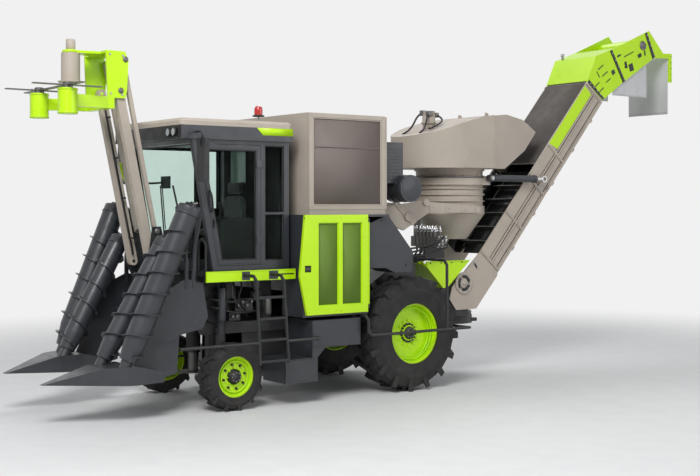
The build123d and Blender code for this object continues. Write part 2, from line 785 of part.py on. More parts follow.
def bent(*points, bend=60.0, radius=tube_r):
    """Eight-sided tube along straight runs, each corner cut by a short mitred run."""
    places = [Vector(*point) for point in points]
    route = [places[0]]
    for before, corner, after in zip(places, places[1:], places[2:]):
        route += [corner + (before - corner).normalized() * bend, corner + (after - corner).normalized() * bend]
    route.append(places[-1])
    with BuildLine() as path:
        Polyline(*route)
    with BuildSketch(Plane(origin=route[0], z_dir=route[1] - route[0])) as section:
        RegularPolygon(radius, 8)
    sweep(section.sketch, path=path.wire(), transition=Transition.RIGHT)


with BuildPart() as rails:
    ladder_top = deck_z - 60
    ladder_posts = ((-2560.0, -2500.0), (-2170.0, -2090.0))

    def post_at(post, z):
        """Distance aft of a ladder post's middle at a height."""
        y_top, y_low = ladder_posts[post]
        return y_top + (y_low - y_top) * (ladder_top - z) / (ladder_top - 560)

    for y_top, y_low in ladder_posts:
        bent((deck_half + 20, aft(y_top), ladder_top), (ladder_x, aft(y_top), ladder_top),
             (ladder_x, aft(y_low), 560))
    for rung_z in (600, 860, 1120, 1380):
        y_front, y_rear = post_at(0, rung_z), post_at(1, rung_z)
        with BuildSketch(Plane.XZ.offset(-aft(y_front))):
            with Locations((ladder_x, rung_z)):
                Rectangle(2 * tube_r, 30)
        extrude(amount=-(y_rear - y_front))
    # guard rails behind the engine bay
    for side in (1, -1):
        bent((side * (bay_half - 60), aft(bay_rear - 75), bay_floor_z - 50),
             (side * rail_x, aft(bay_rear - 75), bay_floor_z - 50),
             (side * rail_x, aft(-866), 815), (side * rail_x, aft(894), 815), bend=50)
        bent((side * rail_x, aft(470), 815), (side * rail_x, aft(470), 1750),
             (side * (rail_in + 120), aft(470), 1750), bend=60)
        bent((side * rail_x, aft(870), 815), (side * 760, aft(870), 815), (side * 690, aft(870), 960),
             (side * (rail_in + rail_width), aft(870), 960), bend=40)
    # low guard rail: from the ladder's front post past the front wheel, and from its rear post to the side tank
    bent((ladder_x, aft(guard_front), guard_z), (ladder_x, aft(post_at(0, guard_z)), guard_z))
    bent((ladder_x, aft(post_at(1, guard_z)), guard_z), (ladder_x, aft(guard_rear), guard_z),
         (bay_half + clear, aft(guard_rear), guard_z), bend=50)
    # handrail on the front of the platform
    bent((680, aft(handrail_y), deck_z + clear), (680, aft(handrail_y), deck_z + handrail_height),
         (handrail_out, aft(handrail_y), deck_z + handrail_height), (handrail_out, aft(handrail_y), deck_z + clear),
         bend=60, radius=16)
    # mirrors hung on arms from the roof's sides
    for side in (1, -1):
        arm_z = cab_top_z + fascia_height / 2
        bent((side * (roof_half + clear), aft(mirror_y), arm_z), (side * mirror_x, aft(mirror_y), arm_z),
             (side * mirror_x, aft(mirror_y), mirror_z), bend=50, radius=12)
        with BuildSketch(Plane.XY.offset(mirror_z - mirror_height + 10)):
            with Locations((side * mirror_x, aft(mirror_y))):
                Rectangle(200, 60)
        extrude(amount=mirror_height)
finish(rails.part, "ladder_and_rails")

# ---------------------------------------------------------------- extractor
extractor_axis = Axis((0, aft(extractor_y), 0), (0, 0, 1))
with BuildPart() as extractor_cone:
    wall = 20.0
    with BuildSketch(Plane.YZ):
        with BuildLine():
            Polyline(
                (aft(extractor_y) + cone_low_r, cone_low_z),
                (aft(extractor_y) + lip_r, 2370),
                (aft(extractor_y) + lip_r, neck_z),
                (aft(extractor_y) + neck_r, neck_z),
                (aft(extractor_y) + neck_r, neck_top_z - 30),
                (aft(extractor_y) + neck_r + 25, neck_top_z - 30),
                (aft(extractor_y) + neck_r + 25, neck_top_z - clear),
                (aft(extractor_y) + neck_r - wall, neck_top_z - clear),
                (aft(extractor_y) + neck_r - wall, neck_z - wall),
                (aft(extractor_y) + lip_r - wall - 20, 2370),
                (aft(extractor_y) + cone_low_r - wall, cone_low_z),
                close=True,
            )
        make_face()
    revolve(axis=extractor_axis)
finish(extractor_cone.part, "extractor_cone")

with BuildPart() as extractor_frame:
    # cross bar that carries the fan's bearing, its corners against the inside of the neck
    bar_width = 90.0
    with BuildSketch(Plane.XY.offset(2600)):
        with Locations((0, aft(extractor_y))):
            Rectangle(2 * math.sqrt((neck_r - wall) ** 2 - (bar_width / 2) ** 2) - clear, bar_width)
            Circle(bar_width)
    extrude(amount=70)
    # side arms that carry the extractor from the cooling box
    for side in (1, -1):
        with BuildSketch(Plane.YZ.offset(side * (lip_r + clear))):
            with BuildLine():
                outline((-415, 2440), (-415, 2380), (250, 2150), (700, 2390), (1685, 2390), (1685, 2480), (560, 2560))
            make_face()
        extrude(amount=side * 45)
        # webs and lugs along the arm
        for web_y, web_z, web_half in ((-120.0, 2300.0, 55.0), (315.0, 2230.0, 60.0), (640.0, 2430.0, 50.0)):
            with BuildSketch(Plane.YZ.offset(side * (lip_r + clear + 45))):
                with Locations((aft(web_y), web_z + 110)):
                    Circle(web_half)
            extrude(amount=side * 30)
    # tie between the arms in front of the extractor
    with BuildSketch(Plane.XZ.offset(-aft(900))):
        with Locations((0, 2435)):
            Rectangle(2 * (lip_r + clear), 60)
    extrude(amount=-60)
finish(extractor_frame.part, "extractor_frame")

valve_x = 400.0
valve_y = 1010.0
fan_z = 2670.0
fan_tip = 410.0
with BuildPart() as extractor_fan:
    with BuildSketch(Plane.XY.offset(fan_z + clear)):
        with Locations((0, aft(extractor_y))):
            Circle(80)
    extrude(amount=260)
    with BuildSketch(Plane.XY.offset(fan_z + 120)):
        with Locations((0, aft(extractor_y))):
            with PolarLocations(fan_tip / 2, 4):
                Rectangle(fan_tip, 110)
    extrude(amount=24)
finish(extractor_fan.part, "extractor_fan")

hood_mid = hood_front + hood_r
with BuildPart() as extractor_hood:
    with BuildSketch(Plane.YZ.offset(-hood_r)):
        with BuildLine():
            outline((hood_front - 20, neck_top_z), (hood_front - 20, 3490), (900, 3560), (1250, 3680), (1700, 3800),
                    (2200, 3850), (2600, 3790), (2930, 3620), (2650, 3330), (2150, neck_top_z))
        make_face()
    extrude(amount=2 * hood_r)
    with BuildSketch(Plane.XY.offset(neck_top_z)) as plan:
        with BuildLine():
            rear_half = 470.0
            ThreePointArc((-hood_r, aft(hood_mid)), (0, aft(hood_front)), (hood_r, aft(hood_mid)))
            Line((hood_r, aft(hood_mid)), (hood_r, aft(1900)))
            Line((hood_r, aft(1900)), (rear_half, aft(2950)))
            Line((rear_half, aft(2950)), (-rear_half, aft(2950)))
            Line((-rear_half, aft(2950)), (-hood_r, aft(1900)))
            Line((-hood_r, aft(1900)), (-hood_r, aft(hood_mid)))
        make_face()
    extrude(amount=1000, mode=Mode.INTERSECT)
    # open outlet under the rear end, and the opening over the fan
    with BuildSketch(Plane.YZ.offset(-rear_half + 40)):
        with BuildLine():
            outline((hood_front + 350, neck_top_z + 20), (hood_front + 350, 3440), (1250, 3640), (1700, 3765),
                    (2200, 3815), (2560, 3765), (2850, 3620), (2750, 3350), (2150, neck_top_z + 20))
        make_face()
    extrude(amount=2 * (rear_half - 40), mode=Mode.SUBTRACT)
    with BuildSketch(Plane.XY.offset(neck_top_z)):
        with Locations((0, aft(extractor_y))):
            Circle(neck_r - 30)
    extrude(amount=60, mode=Mode.SUBTRACT)
    # motor cap on top of the drum
    with BuildSketch(Plane.XY.offset(3560)):
        with Locations((0, aft(1185))):
            Circle(90)
    extrude(amount=330)
finish(extractor_hood.part, "extractor_hood")

# ---------------------------------------------------------------- air cleaner
with BuildPart() as air_cleaner:
    with BuildSketch(Plane.YZ.offset(480)):
        with Locations((aft(130), 2730)):
            Circle(185)
    extrude(amount=400)
    with BuildSketch(Plane.XY.offset(2800)):
        with Locations((620, aft(-60))):
            Rectangle(260, 300)
    extrude(amount=560)
    # bracket to the cooling box
    with BuildSketch(Plane.XY.offset(2640)):
        with Locations((620, aft((box_rear - 200 + clear) / 2))):
            Rectangle(180, -200 - box_rear - clear)
    extrude(amount=260)
finish(air_cleaner.part, "air_cleaner")

# ---------------------------------------------------------------- valve bank
with BuildPart() as valve_bank:
    # shelf between the arms, the block on it, and a row of spools and ports
    with BuildSketch(Plane.XZ.offset(-aft(960 + clear))):
        with Locations((0, (2445 + 2060) / 2)):
            Rectangle(160, 385)
    extrude(amount=-14)
    with BuildSketch(Plane.XY.offset(1900)):
        with Locations((valve_x / 2, aft(valve_y))):
            Rectangle(valve_x + 160, 200)
    extrude(amount=150)
    with BuildSketch(Plane.XY.offset(2050)):
        with Locations((0, aft(985))):
            Rectangle(160, 50)
    extrude(amount=60)
    with BuildSketch(Plane.XY.offset(2050)):
        with Locations((valve_x / 2, aft(valve_y))):
            with GridLocations(80, 100, 6, 2):
                RegularPolygon(22, 6)
    extrude(amount=70)
    with BuildSketch(Plane.XY.offset(1900)):
        with Locations((valve_x / 2, aft(valve_y))):
            with GridLocations(80, 100, 6, 2):
                RegularPolygon(18, 6)
    extrude(amount=-50)
finish(valve_bank.part, "valve_bank")

# ---------------------------------------------------------------- slew base, table and ring
slew_y = extractor_y
with BuildPart() as slew_base:
    with BuildSketch(Plane.XY.offset(table_z - clear)):
        with Locations((0, aft((rail_rear + slew_y) / 2 + 100))):
            Rectangle(560, slew_y - rail_rear + 200)
        with Locations((0, aft(slew_y))):
            Circle(330)
    extrude(amount=-130)
    with BuildSketch(Plane.XY.offset(table_z - clear - 130)):
        with Locations((0, aft(rail_rear - 90))):
            Rectangle(560, 420)
    extrude(amount=rail_z - table_z + 130)
    # tow plate with its pin bore
    with BuildSketch(Plane.XY.offset(table_z - clear - 130)):
        with Locations((0, aft(slew_y + 360))):
            Rectangle(220, 200)
    extrude(amount=50)
    with BuildSketch(Plane.XY.offset(table_z - clear - 130)):
        with Locations((0, aft(slew_y + 400))):
            Circle(27)
    extrude(amount=50, mode=Mode.SUBTRACT)
finish(slew_base.part, "slew_base")

cheek_in = 392.0
cheek = 25.0
shaft_r = 35.0
with BuildPart() as slew_table:
    with BuildSketch(Plane.XY.offset(table_z)):
        with Locations((0, aft(slew_y))):
            Circle(330)
        with Locations((0, aft(foot_y))):
            Rectangle(2 * (cheek_in + cheek), 260)
    extrude(amount=50)
    for side in (1, -1):
        with BuildSketch(Plane.YZ.offset(side * cheek_in)):
            with BuildLine():
                outline((foot_y - 130, table_z), (1060, 1240), (1060, bowl_floor_z - clear),
                        (bowl_floor_y, bowl_floor_z - clear), (foot_y - 60, foot_z), (foot_y + 70, foot_z),
                        (foot_y + 130, table_z))
            make_face()
            with Locations((aft(foot_y), foot_z)):
                Circle(70)
                Circle(shaft_r + clear, mode=Mode.SUBTRACT)
        extrude(amount=side * cheek)
finish(slew_table.part, "slew_table")

ring_z = 2800.0
ring_height = 130.0
ear_y = 1900.0
ear_z = 2900.0
lift_x = 560.0
ear_in = 440.0
ear_width = 55.0
with BuildPart() as slew_ring:
    with BuildSketch(Plane.XY.offset(ring_z)):
        with Locations((0, aft(slew_y))):
            Circle(neck_r + 40)
            Circle(neck_r + clear, mode=Mode.SUBTRACT)
    extrude(amount=ring_height)
    for side in (1, -1):
        with BuildSketch(Plane.XY.offset(ring_z)):
            with Locations((side * (ear_in + ear_width / 2), aft((slew_y + 190 + ear_y + 60) / 2))):
                Rectangle(ear_width, ear_y + 60 - slew_y - 190)
        extrude(amount=ring_height)
        with BuildSketch(Plane.YZ.offset(side * ear_in)):
            with Locations((aft(ear_y), ear_z)):
                Circle(28)
        extrude(amount=side * (lift_x + 60 - ear_in))
    with BuildSketch(Plane.XY.offset(ring_z)):
        with Locations((0, aft(slew_y))):
            Circle(neck_r + clear)
    extrude(amount=ring_height, mode=Mode.SUBTRACT)
finish(slew_ring.part, "slew_ring")

# the lime bowl that guides billets into the foot
bowl_x = 475.0
bowl_wall = 20.0
with BuildPart() as bowl:
    with BuildSketch(Plane.YZ.offset(-bowl_x - bowl_wall)):
        with BuildLine():
            outline((655, 1700), (1040, bowl_floor_z), (bowl_floor_y, bowl_floor_z), (1560, 1700))
        make_face()
    extrude(amount=2 * (bowl_x + bowl_wall))
    with BuildSketch(Plane.YZ.offset(-bowl_x)):
        with BuildLine():
            outline((683, 1710), (1048, bowl_floor_z + 20), (1700, bowl_floor_z + 20), (1700, 1710))
        make_face()
    extrude(amount=2 * bowl_x, mode=Mode.SUBTRACT)
    with BuildSketch(Plane.XY.offset(1300)):
        with Locations((0, aft(slew_y))):
            Circle(2000)
            Circle(980, mode=Mode.SUBTRACT)
    extrude(amount=420, mode=Mode.SUBTRACT)
finish(bowl.part, "elevator_bowl")

# ---------------------------------------------------------------- elevator
along = math.radians(boom_angle)
# where the lift cylinders take the boom
eye_y, eye_z = 3000.0, 2890.0
hub_cover_r = 150.0
# rails along the side plates: start and end up the boom, depth at the top and the bottom edge
boom_rails = ((0.0, 3500.0, 212.0, 234.0), (0.0, 3500.0, 256.0, 278.0), (0.0, 3500.0, 436.0, 466.0))
boom_ribs = tuple((start, start + 36.0, 6.0, 440.0) for start in (0.0, 780.0, 1480.0, 2150.0, 3470.0))


def along_boom(up, depth):
    """(distance aft, height) of a place this far up the boom and this deep below its top edge."""
    return (1800 + up * math.cos(along) + depth * math.sin(along), 1810 + up * math.sin(along) - depth * math.cos(along))


foot_points = ((1800, 1810), (1250, 1310), (1210, 1130), (1330, 975), (1720, 975), (2140, 1440), (2156, 1503))
head_points = ((4105, 4465), (4315, 4895), (4769, 5059), (5614, 5409), (5741, 4967), (4915, 4482), (4481, 4197))

with BuildPart() as boom:
    for side in (1, -1):
        with BuildSketch(Plane.YZ.offset(side * boom_half)):
            with BuildLine():
                outline(*foot_points)
            make_face()
            with BuildLine():
                outline((1800, 1810), (4105, 4465), (4461, 4156), (2156, 1503))
            make_face()
        extrude(amount=-side * boom_plate)
    # shaft that the elevator lifts about, with its tail drum
    with BuildSketch(Plane.YZ.offset(-boom_half)):
        with Locations((aft(foot_y), foot_z)):
            Circle(shaft_r)
    extrude(amount=2 * boom_half)
    with BuildSketch(Plane.YZ.offset(-cheek_in + 12)):
        with Locations((aft(foot_y), foot_z)):
            Circle(120)
    extrude(amount=2 * (cheek_in - 12))
    # floor of the boom
    with BuildSketch(Plane.YZ.offset(-boom_half + boom_plate)):
        with BuildLine():
            y_step = floor_depth * math.sin(along)
            z_step = -floor_depth * math.cos(along)
            outline((1950 + y_step, 1983 + z_step), (4000 + y_step, 4344 + z_step),
                    (4000 + y_step * 1.08, 4344 + z_step * 1.08), (1950 + y_step * 1.08, 1983 + z_step * 1.08))
        make_face()
    extrude(amount=2 * (boom_half - boom_plate))
    # cover over the upper half of the boom
    with BuildSketch(Plane.YZ.offset(-boom_half + boom_plate)):
        with BuildLine():
            outline(along_boom(1760, 4), along_boom(3500, 4), along_boom(3500, 14), along_boom(1760, 14))
        make_face()
    extrude(amount=2 * (boom_half - boom_plate))
    for side in (1, -1):
        # long rails and cross ribs on the side plates: start, end, depth at the top, depth at the bottom
        for start, end, top, bottom in boom_rails + boom_ribs:
            with BuildSketch(Plane.YZ.offset(side * boom_half)):
                with BuildLine():
                    outline(along_boom(start, top), along_boom(end, top), along_boom(end, bottom),
                            along_boom(start, bottom))
                make_face()
            extrude(amount=side * (16 if end - start > 100 else 20))
        # hub cover of the foot shaft, with its three slots
        with BuildSketch(Plane.YZ.offset(side * boom_half)):
            with Locations((aft(foot_y), foot_z)):
                Circle(hub_cover_r)
                with PolarLocations(0.62 * hub_cover_r, 3):
                    SlotOverall(0.9 * hub_cover_r, 0.3 * hub_cover_r, rotation=90, mode=Mode.SUBTRACT)
        extrude(amount=side * 18)
        # pin that takes the lift cylinder
        with BuildSketch(Plane.YZ.offset(side * boom_half)):
            with Locations((aft(eye_y), eye_z)):
                Circle(45)
        extrude(amount=side * 50)
finish(boom.part, "elevator_boom")

with BuildPart() as head:
    for side in (1, -1):
        with BuildSketch(Plane.YZ.offset(side * boom_half)):
            with BuildLine():
                outline(*head_points)
            make_face()
        extrude(amount=-side * boom_plate)
    with BuildSketch(Plane.YZ.offset(-boom_half + boom_plate)):
        with BuildLine():
            outline((4115, 4485), (4315, 4895), (4769, 5059), (4780, 5035), (4332, 4875), (4135, 4478))
        make_face()
    extrude(amount=2 * (boom_half - boom_plate))
    # head shaft
    with BuildSketch(Plane.YZ.offset(-boom_half + boom_plate)):
        with Locations((aft(5450), 5150)):
            Circle(110)
    extrude(amount=2 * (boom_half - boom_plate))
    # rear frame that carries the curtain
    for side in (1, -1):
        with BuildSketch(Plane.YZ.offset(side * boom_half)):
            with BuildLine():
                outline((5560, 5387), (5614, 5409), (5974, 5060), (6200, 5070), (6200, 4590), (6140, 4590),
                        (6140, 4985), (5741, 4967))
            make_face()
        extrude(amount=-side * boom_plate)
    with BuildSketch(Plane.XY.offset(5005)):
        with Locations((0, aft(6170))):
            Rectangle(2 * (boom_half - boom_plate), 40)
    extrude(amount=50)
finish(head.part, "elevator_head")

with BuildPart() as chain:
    # slats along the upper run, joined by two strands of chain
    run = 2350.0
    slats = 9
    start = 260.0
    for side in (1, -1):
        with BuildSketch(Plane.YZ.offset(side * 300)):
            with BuildLine():
                y0 = 1800 + (floor_depth - clear - 50) * math.sin(along)
                z0 = 1810 - (floor_depth - clear - 50) * math.cos(along)
                dy, dz = math.cos(along), math.sin(along)
                ny, nz = math.sin(along), -math.cos(along)
                outline((y0 + dy * start, z0 + dz * start), (y0 + dy * (start + run), z0 + dz * (start + run)),
                        (y0 + dy * (start + run) + ny * 50, z0 + dz * (start + run) + nz * 50),
                        (y0 + dy * start + ny * 50, z0 + dz * start + nz * 50))
            make_face()
        extrude(amount=-side * 30)
    for count in range(slats):
        s = start + 60 + count * (run - 120) / (slats - 1)
        with BuildSketch(Plane.YZ.offset(-380)):
            with BuildLine():
                outline((y0 + dy * s - ny * 60, z0 + dz * s - nz * 60),
                        (y0 + dy * (s + 12) - ny * 60, z0 + dz * (s + 12) - nz * 60),
                        (y0 + dy * (s + 12) + ny * 20, z0 + dz * (s + 12) + nz * 20),
                        (y0 + dy * s + ny * 20, z0 + dz * s + nz * 20))
            make_face()
        extrude(amount=760)
finish(chain.part, "elevator_chain")

with BuildPart() as curtain:
    curtain_half = boom_half - boom_plate - clear
    with BuildSketch(Plane.XY.offset(5040)):
        with Locations((0, aft(6144 - clear))):
            Rectangle(2 * curtain_half, 12)
    extrude(amount=-1010)
    # side flaps hung inside the head's plates, below their lower edge
    for side in (1, -1):
        with BuildSketch(Plane.XY.offset(4890)):
            with Locations((side * (curtain_half - 6), aft(5160))):
                Rectangle(12, 840)
        extrude(amount=-600)
finish(curtain.part, "elevator_curtain")

# lift cylinders, a barrel on the ring's ears and a rod that reaches the boom
barrel_length = 840.0
rod_start = 170.0
with BuildPart() as barrels:
    for side in (1, -1):
        with BuildSketch(Plane.XZ.offset(-aft(ear_y + 60))):
            with Locations((side * lift_x, ear_z)):
                Circle(52)
        extrude(amount=-barrel_length)
        with BuildSketch(Plane.XZ.offset(-aft(ear_y + 60))):
            with Locations((side * lift_x, ear_z)):
                Circle(26 + clear)
        extrude(amount=-barrel_length, mode=Mode.SUBTRACT)
        with BuildSketch(Plane.YZ.offset(side * (lift_x - 40))):
            with Locations((aft(ear_y + 35), ear_z)):
                Rectangle(70, 76)
            with Locations((aft(ear_y), ear_z)):
                Circle(50)
                Circle(28 + clear, mode=Mode.SUBTRACT)
        extrude(amount=side * 80)
        with BuildSketch(Plane.YZ.offset(side * (lift_x - 50))):
            with Locations((aft(ear_y), ear_z)):
                Circle(28 + clear)
        extrude(amount=side * 100, mode=Mode.SUBTRACT)
finish(barrels.part, "lift_barrels")

with BuildPart() as rods:
    for side in (1, -1):
        with BuildSketch(Plane.XZ.offset(-aft(ear_y + rod_start))):
            with Locations((side * lift_x, ear_z)):
                Circle(26)
        extrude(amount=-(eye_y - ear_y - rod_start - 20))
        with BuildSketch(Plane.YZ.offset(side * (lift_x - 35))):
            with Locations((aft(eye_y), ear_z)):
                Circle(50)
                Circle(30, mode=Mode.SUBTRACT)
        extrude(amount=side * 70)
finish(rods.part, "lift_rods")

# ---------------------------------------------------------------- crop dividers
# scroll: x at foot, foot (aft, z), x at top, top (aft, z), radius at foot, radius at top
scrolls = (
    ("outer", 920.0, (-4120.0, 710.0), 1010.0, (-3400.0, 2380.0), 100.0, 140.0),
    ("inner", 542.0, (-4239.0, 712.0), 620.0, (-3526.0, 1990.0), 95.0, 120.0),
)
scroll_taper = 0.15            # share of a scroll's length that widens from the foot
shoe_in = 440.0                # edges of a divider's shoe from the centre line
shoe_out = 1020.0
motor_height = 110.0
flight_pitch = 260.0
flight_height = 45.0
flight_plate = 10.0
flight_steps = 12
# motor bracket: scroll, places between the motor cap and the divider's wall (x, aft, z)
motor_brackets = (
    ((960.0, -3180.0, 2455.0), (812.0, -3190.0, 1980.0), (812.0, -3200.0, 1500.0)),
    ((660.0, -3320.0, 2060.0), (812.0, -3300.0, 1880.0), (812.0, -3300.0, 1500.0)),
)


def scroll_axis(side, x_low, low, x_high, high):
    """Foot point, unit direction and length of a scroll's axis."""
    foot = Vector(side * x_low, aft(low[0]), low[1])
    top = Vector(side * x_high, aft(high[0]), high[1])
    return foot, (top - foot).normalized(), (top - foot).length


for name, side in sides:
    with BuildPart() as divider:
        # shoe: wedge in the side view, trimmed to a pointed plan
        with BuildSketch(Plane.YZ.offset(side * (shoe_in - 20))):
            with BuildLine():
                outline((-5030, 470), (-4400, 640), (-4060, 650), (-3700, 560), (-3700, 440), (-4050, 430))
            make_face()
        extrude(amount=side * (shoe_out - shoe_in + 40))
        with BuildSketch(Plane.XY.offset(400)):
            with BuildLine():
                Polyline((side * 550, aft(-5030)), (side * 620, aft(-5030)), (side * shoe_out, aft(-4150)),
                         (side * shoe_out, aft(-3700)), (side * shoe_in, aft(-3700)), (side * shoe_in, aft(-4350)),
                         close=True)
            make_face()
        extrude(amount=300, mode=Mode.INTERSECT)
        # wall behind the scrolls
        with BuildSketch(Plane.YZ.offset(side * 800)):
            with BuildLine():
                outline((-4060, 520), (-3560, 1500), (-3300, 1620), (-3080, 1560), (-3010, 1150), (-3080, 1010),
                        (-3400, 950), (-3430, 500), (-3700, 440))
            make_face()
        extrude(amount=side * 25)
        # link that carries the divider on the frame
        with BuildSketch(Plane.YZ.offset(side * (rail_in + rail_width + 10))):
            with BuildLine():
                outline((-3500, 1080), (-3500, 1220), (divider_hinge_y, divider_hinge_z + 60),
                        (divider_hinge_y, divider_hinge_z - 60))
            make_face()
            with Locations((aft(divider_hinge_y), divider_hinge_z)):
                Circle(60)
        extrude(amount=side * 30)
        with BuildSketch(Plane.YZ.offset(side * (rail_in + rail_width + 10))):
            with Locations((aft(-3440), 1150)):
                Circle(45)
        extrude(amount=side * (800 - rail_in - rail_width - 10))
        with BuildSketch(Plane.YZ.offset(side * (rail_in + rail_width + 10))):
            with Locations((aft(divider_hinge_y), divider_hinge_z)):
                Circle(divider_pin_r + clear)
        extrude(amount=side * 30, mode=Mode.SUBTRACT)
        # bearings under the scrolls
        for label, x_low, low, x_high, high, r_low, r_high in scrolls:
            foot, direction, length = scroll_axis(side, x_low, low, x_high, high)
            with BuildSketch(Plane(origin=foot - direction * clear, z_dir=direction)):
                Circle(r_low * 0.7)
            extrude(amount=-120)
        # motor caps on top of the scrolls, each on a bracket from the wall
        for (label, x_low, low, x_high, high, r_low, r_high), places in zip(scrolls, motor_brackets):
            foot, direction, length = scroll_axis(side, x_low, low, x_high, high)
            top = foot + direction * (length + clear)
            with BuildSketch(Plane(origin=top, z_dir=direction)):
                Circle(r_high * 0.92)
            extrude(amount=motor_height, taper=12)
            bent(tuple(top + direction * motor_height / 2), *[(side * x, aft(y), z) for x, y, z in places],
                 bend=40, radius=30)
    finish(divider.part, f"divider_{name}")
    for label, x_low, low, x_high, high, r_low, r_high in scrolls:
        foot, direction, length = scroll_axis(side, x_low, low, x_high, high)
        with BuildPart() as scroll:
            with BuildSketch(Plane(origin=foot, z_dir=direction)):
                Circle(r_low)
            shoulder = foot + direction * length * scroll_taper
            with BuildSketch(Plane(origin=shoulder, z_dir=direction)):
                Circle(r_high)
            loft()
            with BuildSketch(Plane(origin=shoulder, z_dir=direction)):
                Circle(r_high)
            extrude(amount=length * (1 - scroll_taper))
            # helical flight, one flat run for every step round the tube
            outward = direction.cross(Vector(0, 0, 1)).normalized()
            around = direction.cross(outward)
            for step in range(flight_steps * int((length - 120) / flight_pitch) + 1):
                turn = side * 2 * math.pi * step / flight_steps
                reach = 60 + flight_pitch * step / flight_steps
                core = r_low + (r_high - r_low) * min(reach / (scroll_taper * length), 1)
                spoke = outward * math.cos(turn) + around * math.sin(turn)
                with BuildSketch(Plane(origin=foot + direction * reach, x_dir=spoke, z_dir=direction.cross(spoke))):
                    with Locations((core + flight_height / 2 - 10, 0)):
                        Rectangle(flight_height + 20, flight_plate)
            loft(ruled=True)
        finish(scroll.part, f"scroll_{label}_{name}")

# ---------------------------------------------------------------- topper


def link(x_in, width, thick, low, high, pin):
    """Straight link between two pins, as a bar with round ends, bored for the pins."""
    direction = Vector(0, high[0] - low[0], high[1] - low[1])
    tilt = math.degrees(math.atan2(direction.Z, direction.Y))
    length = direction.length
    middle = ((aft(low[0]) + aft(high[0])) / 2, (low[1] + high[1]) / 2)
    with BuildSketch(Plane.YZ.offset(x_in)) as side_view:
        with Locations(Location((middle[0], middle[1], 0), (0, 0, tilt))):
            SlotCenterToCenter(length, thick)
        for end in (low, high):
            with Locations((aft(end[0]), end[1])):
                Circle(pin + clear, mode=Mode.SUBTRACT)
    extrude(side_view.sketch, amount=width)


with BuildPart() as topper_arms:
    for side in (1, -1):
        link(side * topper_half - 40, 80, 110, (topper_y, topper_z), (head_pin_y, head_pin_z), topper_pin_r)
finish(topper_arms.part, "topper_arms")

with BuildPart() as topper_ties:
    for side in (1, -1):
        link(side * topper_half - 25, 50, 50, (topper_y + tie_y, topper_z + tie_z),
             (head_pin_y + tie_y, head_pin_z + tie_z), topper_pin_r)
finish(topper_ties.part, "topper_ties")

gather_x = 430.0
gather_y = -4640.0
gather_z = 3560.0
gather_r = 112.0
gather_height = 300.0
head_arm_z = 3660.0            # underside of the arms that carry the gathering drums
head_arm_height = 140.0
shred_y = -4420.0
shred_z = 3975.0
shred_height = 350.0
cap_z = shred_z + shred_height
with BuildPart() as topper_head:
    for side in (1, -1):
        # side plate and the pins that join it to an arm and a tie
        with BuildSketch(Plane.YZ.offset(side * (topper_half + 45))):
            with BuildLine():
                outline((-4110, 4355), (-3863, 4355), (-3815, 4250), (-3835, 3900), (-3855, 3790), (-4084, 3790))
            make_face()
        extrude(amount=side * 25)
        with BuildSketch(Plane.YZ.offset(side * (topper_half - 45))):
            with Locations((aft(head_pin_y), head_pin_z), (aft(head_pin_y + tie_y), head_pin_z + tie_z)):
                Circle(topper_pin_r)
        extrude(amount=side * 115)
        # arm out to the housing of the gathering blades
        with BuildSketch(Plane.XY.offset(head_arm_z)):
            with BuildLine():
                Polyline((side * topper_half, aft(-4000)), (side * (topper_half + 70), aft(-4000)),
                         (side * (topper_half + 70), aft(-4080)), (side * (gather_x + 40), aft(gather_y)),
                         (side * (gather_x - 40), aft(gather_y)), (side * topper_half, aft(-4110)), close=True)
            make_face()
        extrude(amount=head_arm_height)
        with BuildSketch(Plane.XY.offset(gather_z)):
            with Locations((side * gather_x, aft(gather_y))):
                Circle(gather_r)
        extrude(amount=gather_height)
    # cross plates that join the two sides
    with BuildSketch(Plane.XY.offset(cap_z)):
        with Locations((0, aft(-3985))):
            Rectangle(2 * (topper_half + 45), 240)
        with BuildLine():
            Polyline((-150, aft(-4080)), (150, aft(-4080)), (80, aft(shred_y)), (-80, aft(shred_y)), close=True)
        make_face()
        with Locations((0, aft(shred_y))):
            Circle(95)
    extrude(amount=30)
    with BuildSketch(Plane.XY.offset(head_arm_z)):
        with Locations((0, aft(-4050))):
            Rectangle(2 * topper_half, 100)
    extrude(amount=40)
    # motor over the shredder
    with BuildSketch(Plane.XY.offset(cap_z + 30)):
        with Locations((0, aft(shred_y))):
            Circle(45)
    extrude(amount=130)
finish(topper_head.part, "topper_head")

with BuildPart() as shredder:
    with BuildSketch(Plane.XY.offset(shred_z)):
        with Locations((0, aft(shred_y))):
            Circle(gather_r)
    extrude(amount=shred_height - clear)
    with BuildSketch(Plane.XY.offset(shred_z)):
        with Locations((0, aft(shred_y))):
            Circle(150)
    extrude(amount=12)
finish(shredder.part, "shredder_drum")

# four gathering blades that turn on top of each housing
blade_z = gather_z + gather_height + clear
for name, side in sides:
    with BuildPart() as gather:
        with BuildSketch(Plane.XY.offset(blade_z)):
            with Locations((side * gather_x, aft(gather_y))):
                Circle(60)
        extrude(amount=60)
        with BuildSketch(Plane.XY.offset(blade_z + 30)):
            with Locations((side * gather_x, aft(gather_y))):
                with PolarLocations(210, 4):
                    Rectangle(420, 70)
        extrude(amount=14)
    finish(gather.part, f"gather_blades_{name}")

# ---------------------------------------------------------------- lamps
with BuildPart() as lamps:
    for side in (1, -1):
        for lamp_x in (620.0, 760.0):
            with BuildSketch(Plane.XZ.offset(-aft(roof_front) + clear)):
                with Locations((side * lamp_x, cab_top_z + fascia_height / 2)):
                    Circle(50)
            extrude(amount=35)
    # beacon on its stalk
    with BuildSketch(Plane.XY.offset(cab_top_z + fascia_height + roof_height)):
        with Locations((600, aft(roof_rear - 330))):
            Circle(12)
    extrude(amount=90)
    with BuildSketch(Plane.XY.offset(cab_top_z + fascia_height + roof_height + 90)):
        with Locations((600, aft(roof_rear - 330))):
            Circle(45)
    extrude(amount=110)
finish(lamps.part, "lamps")
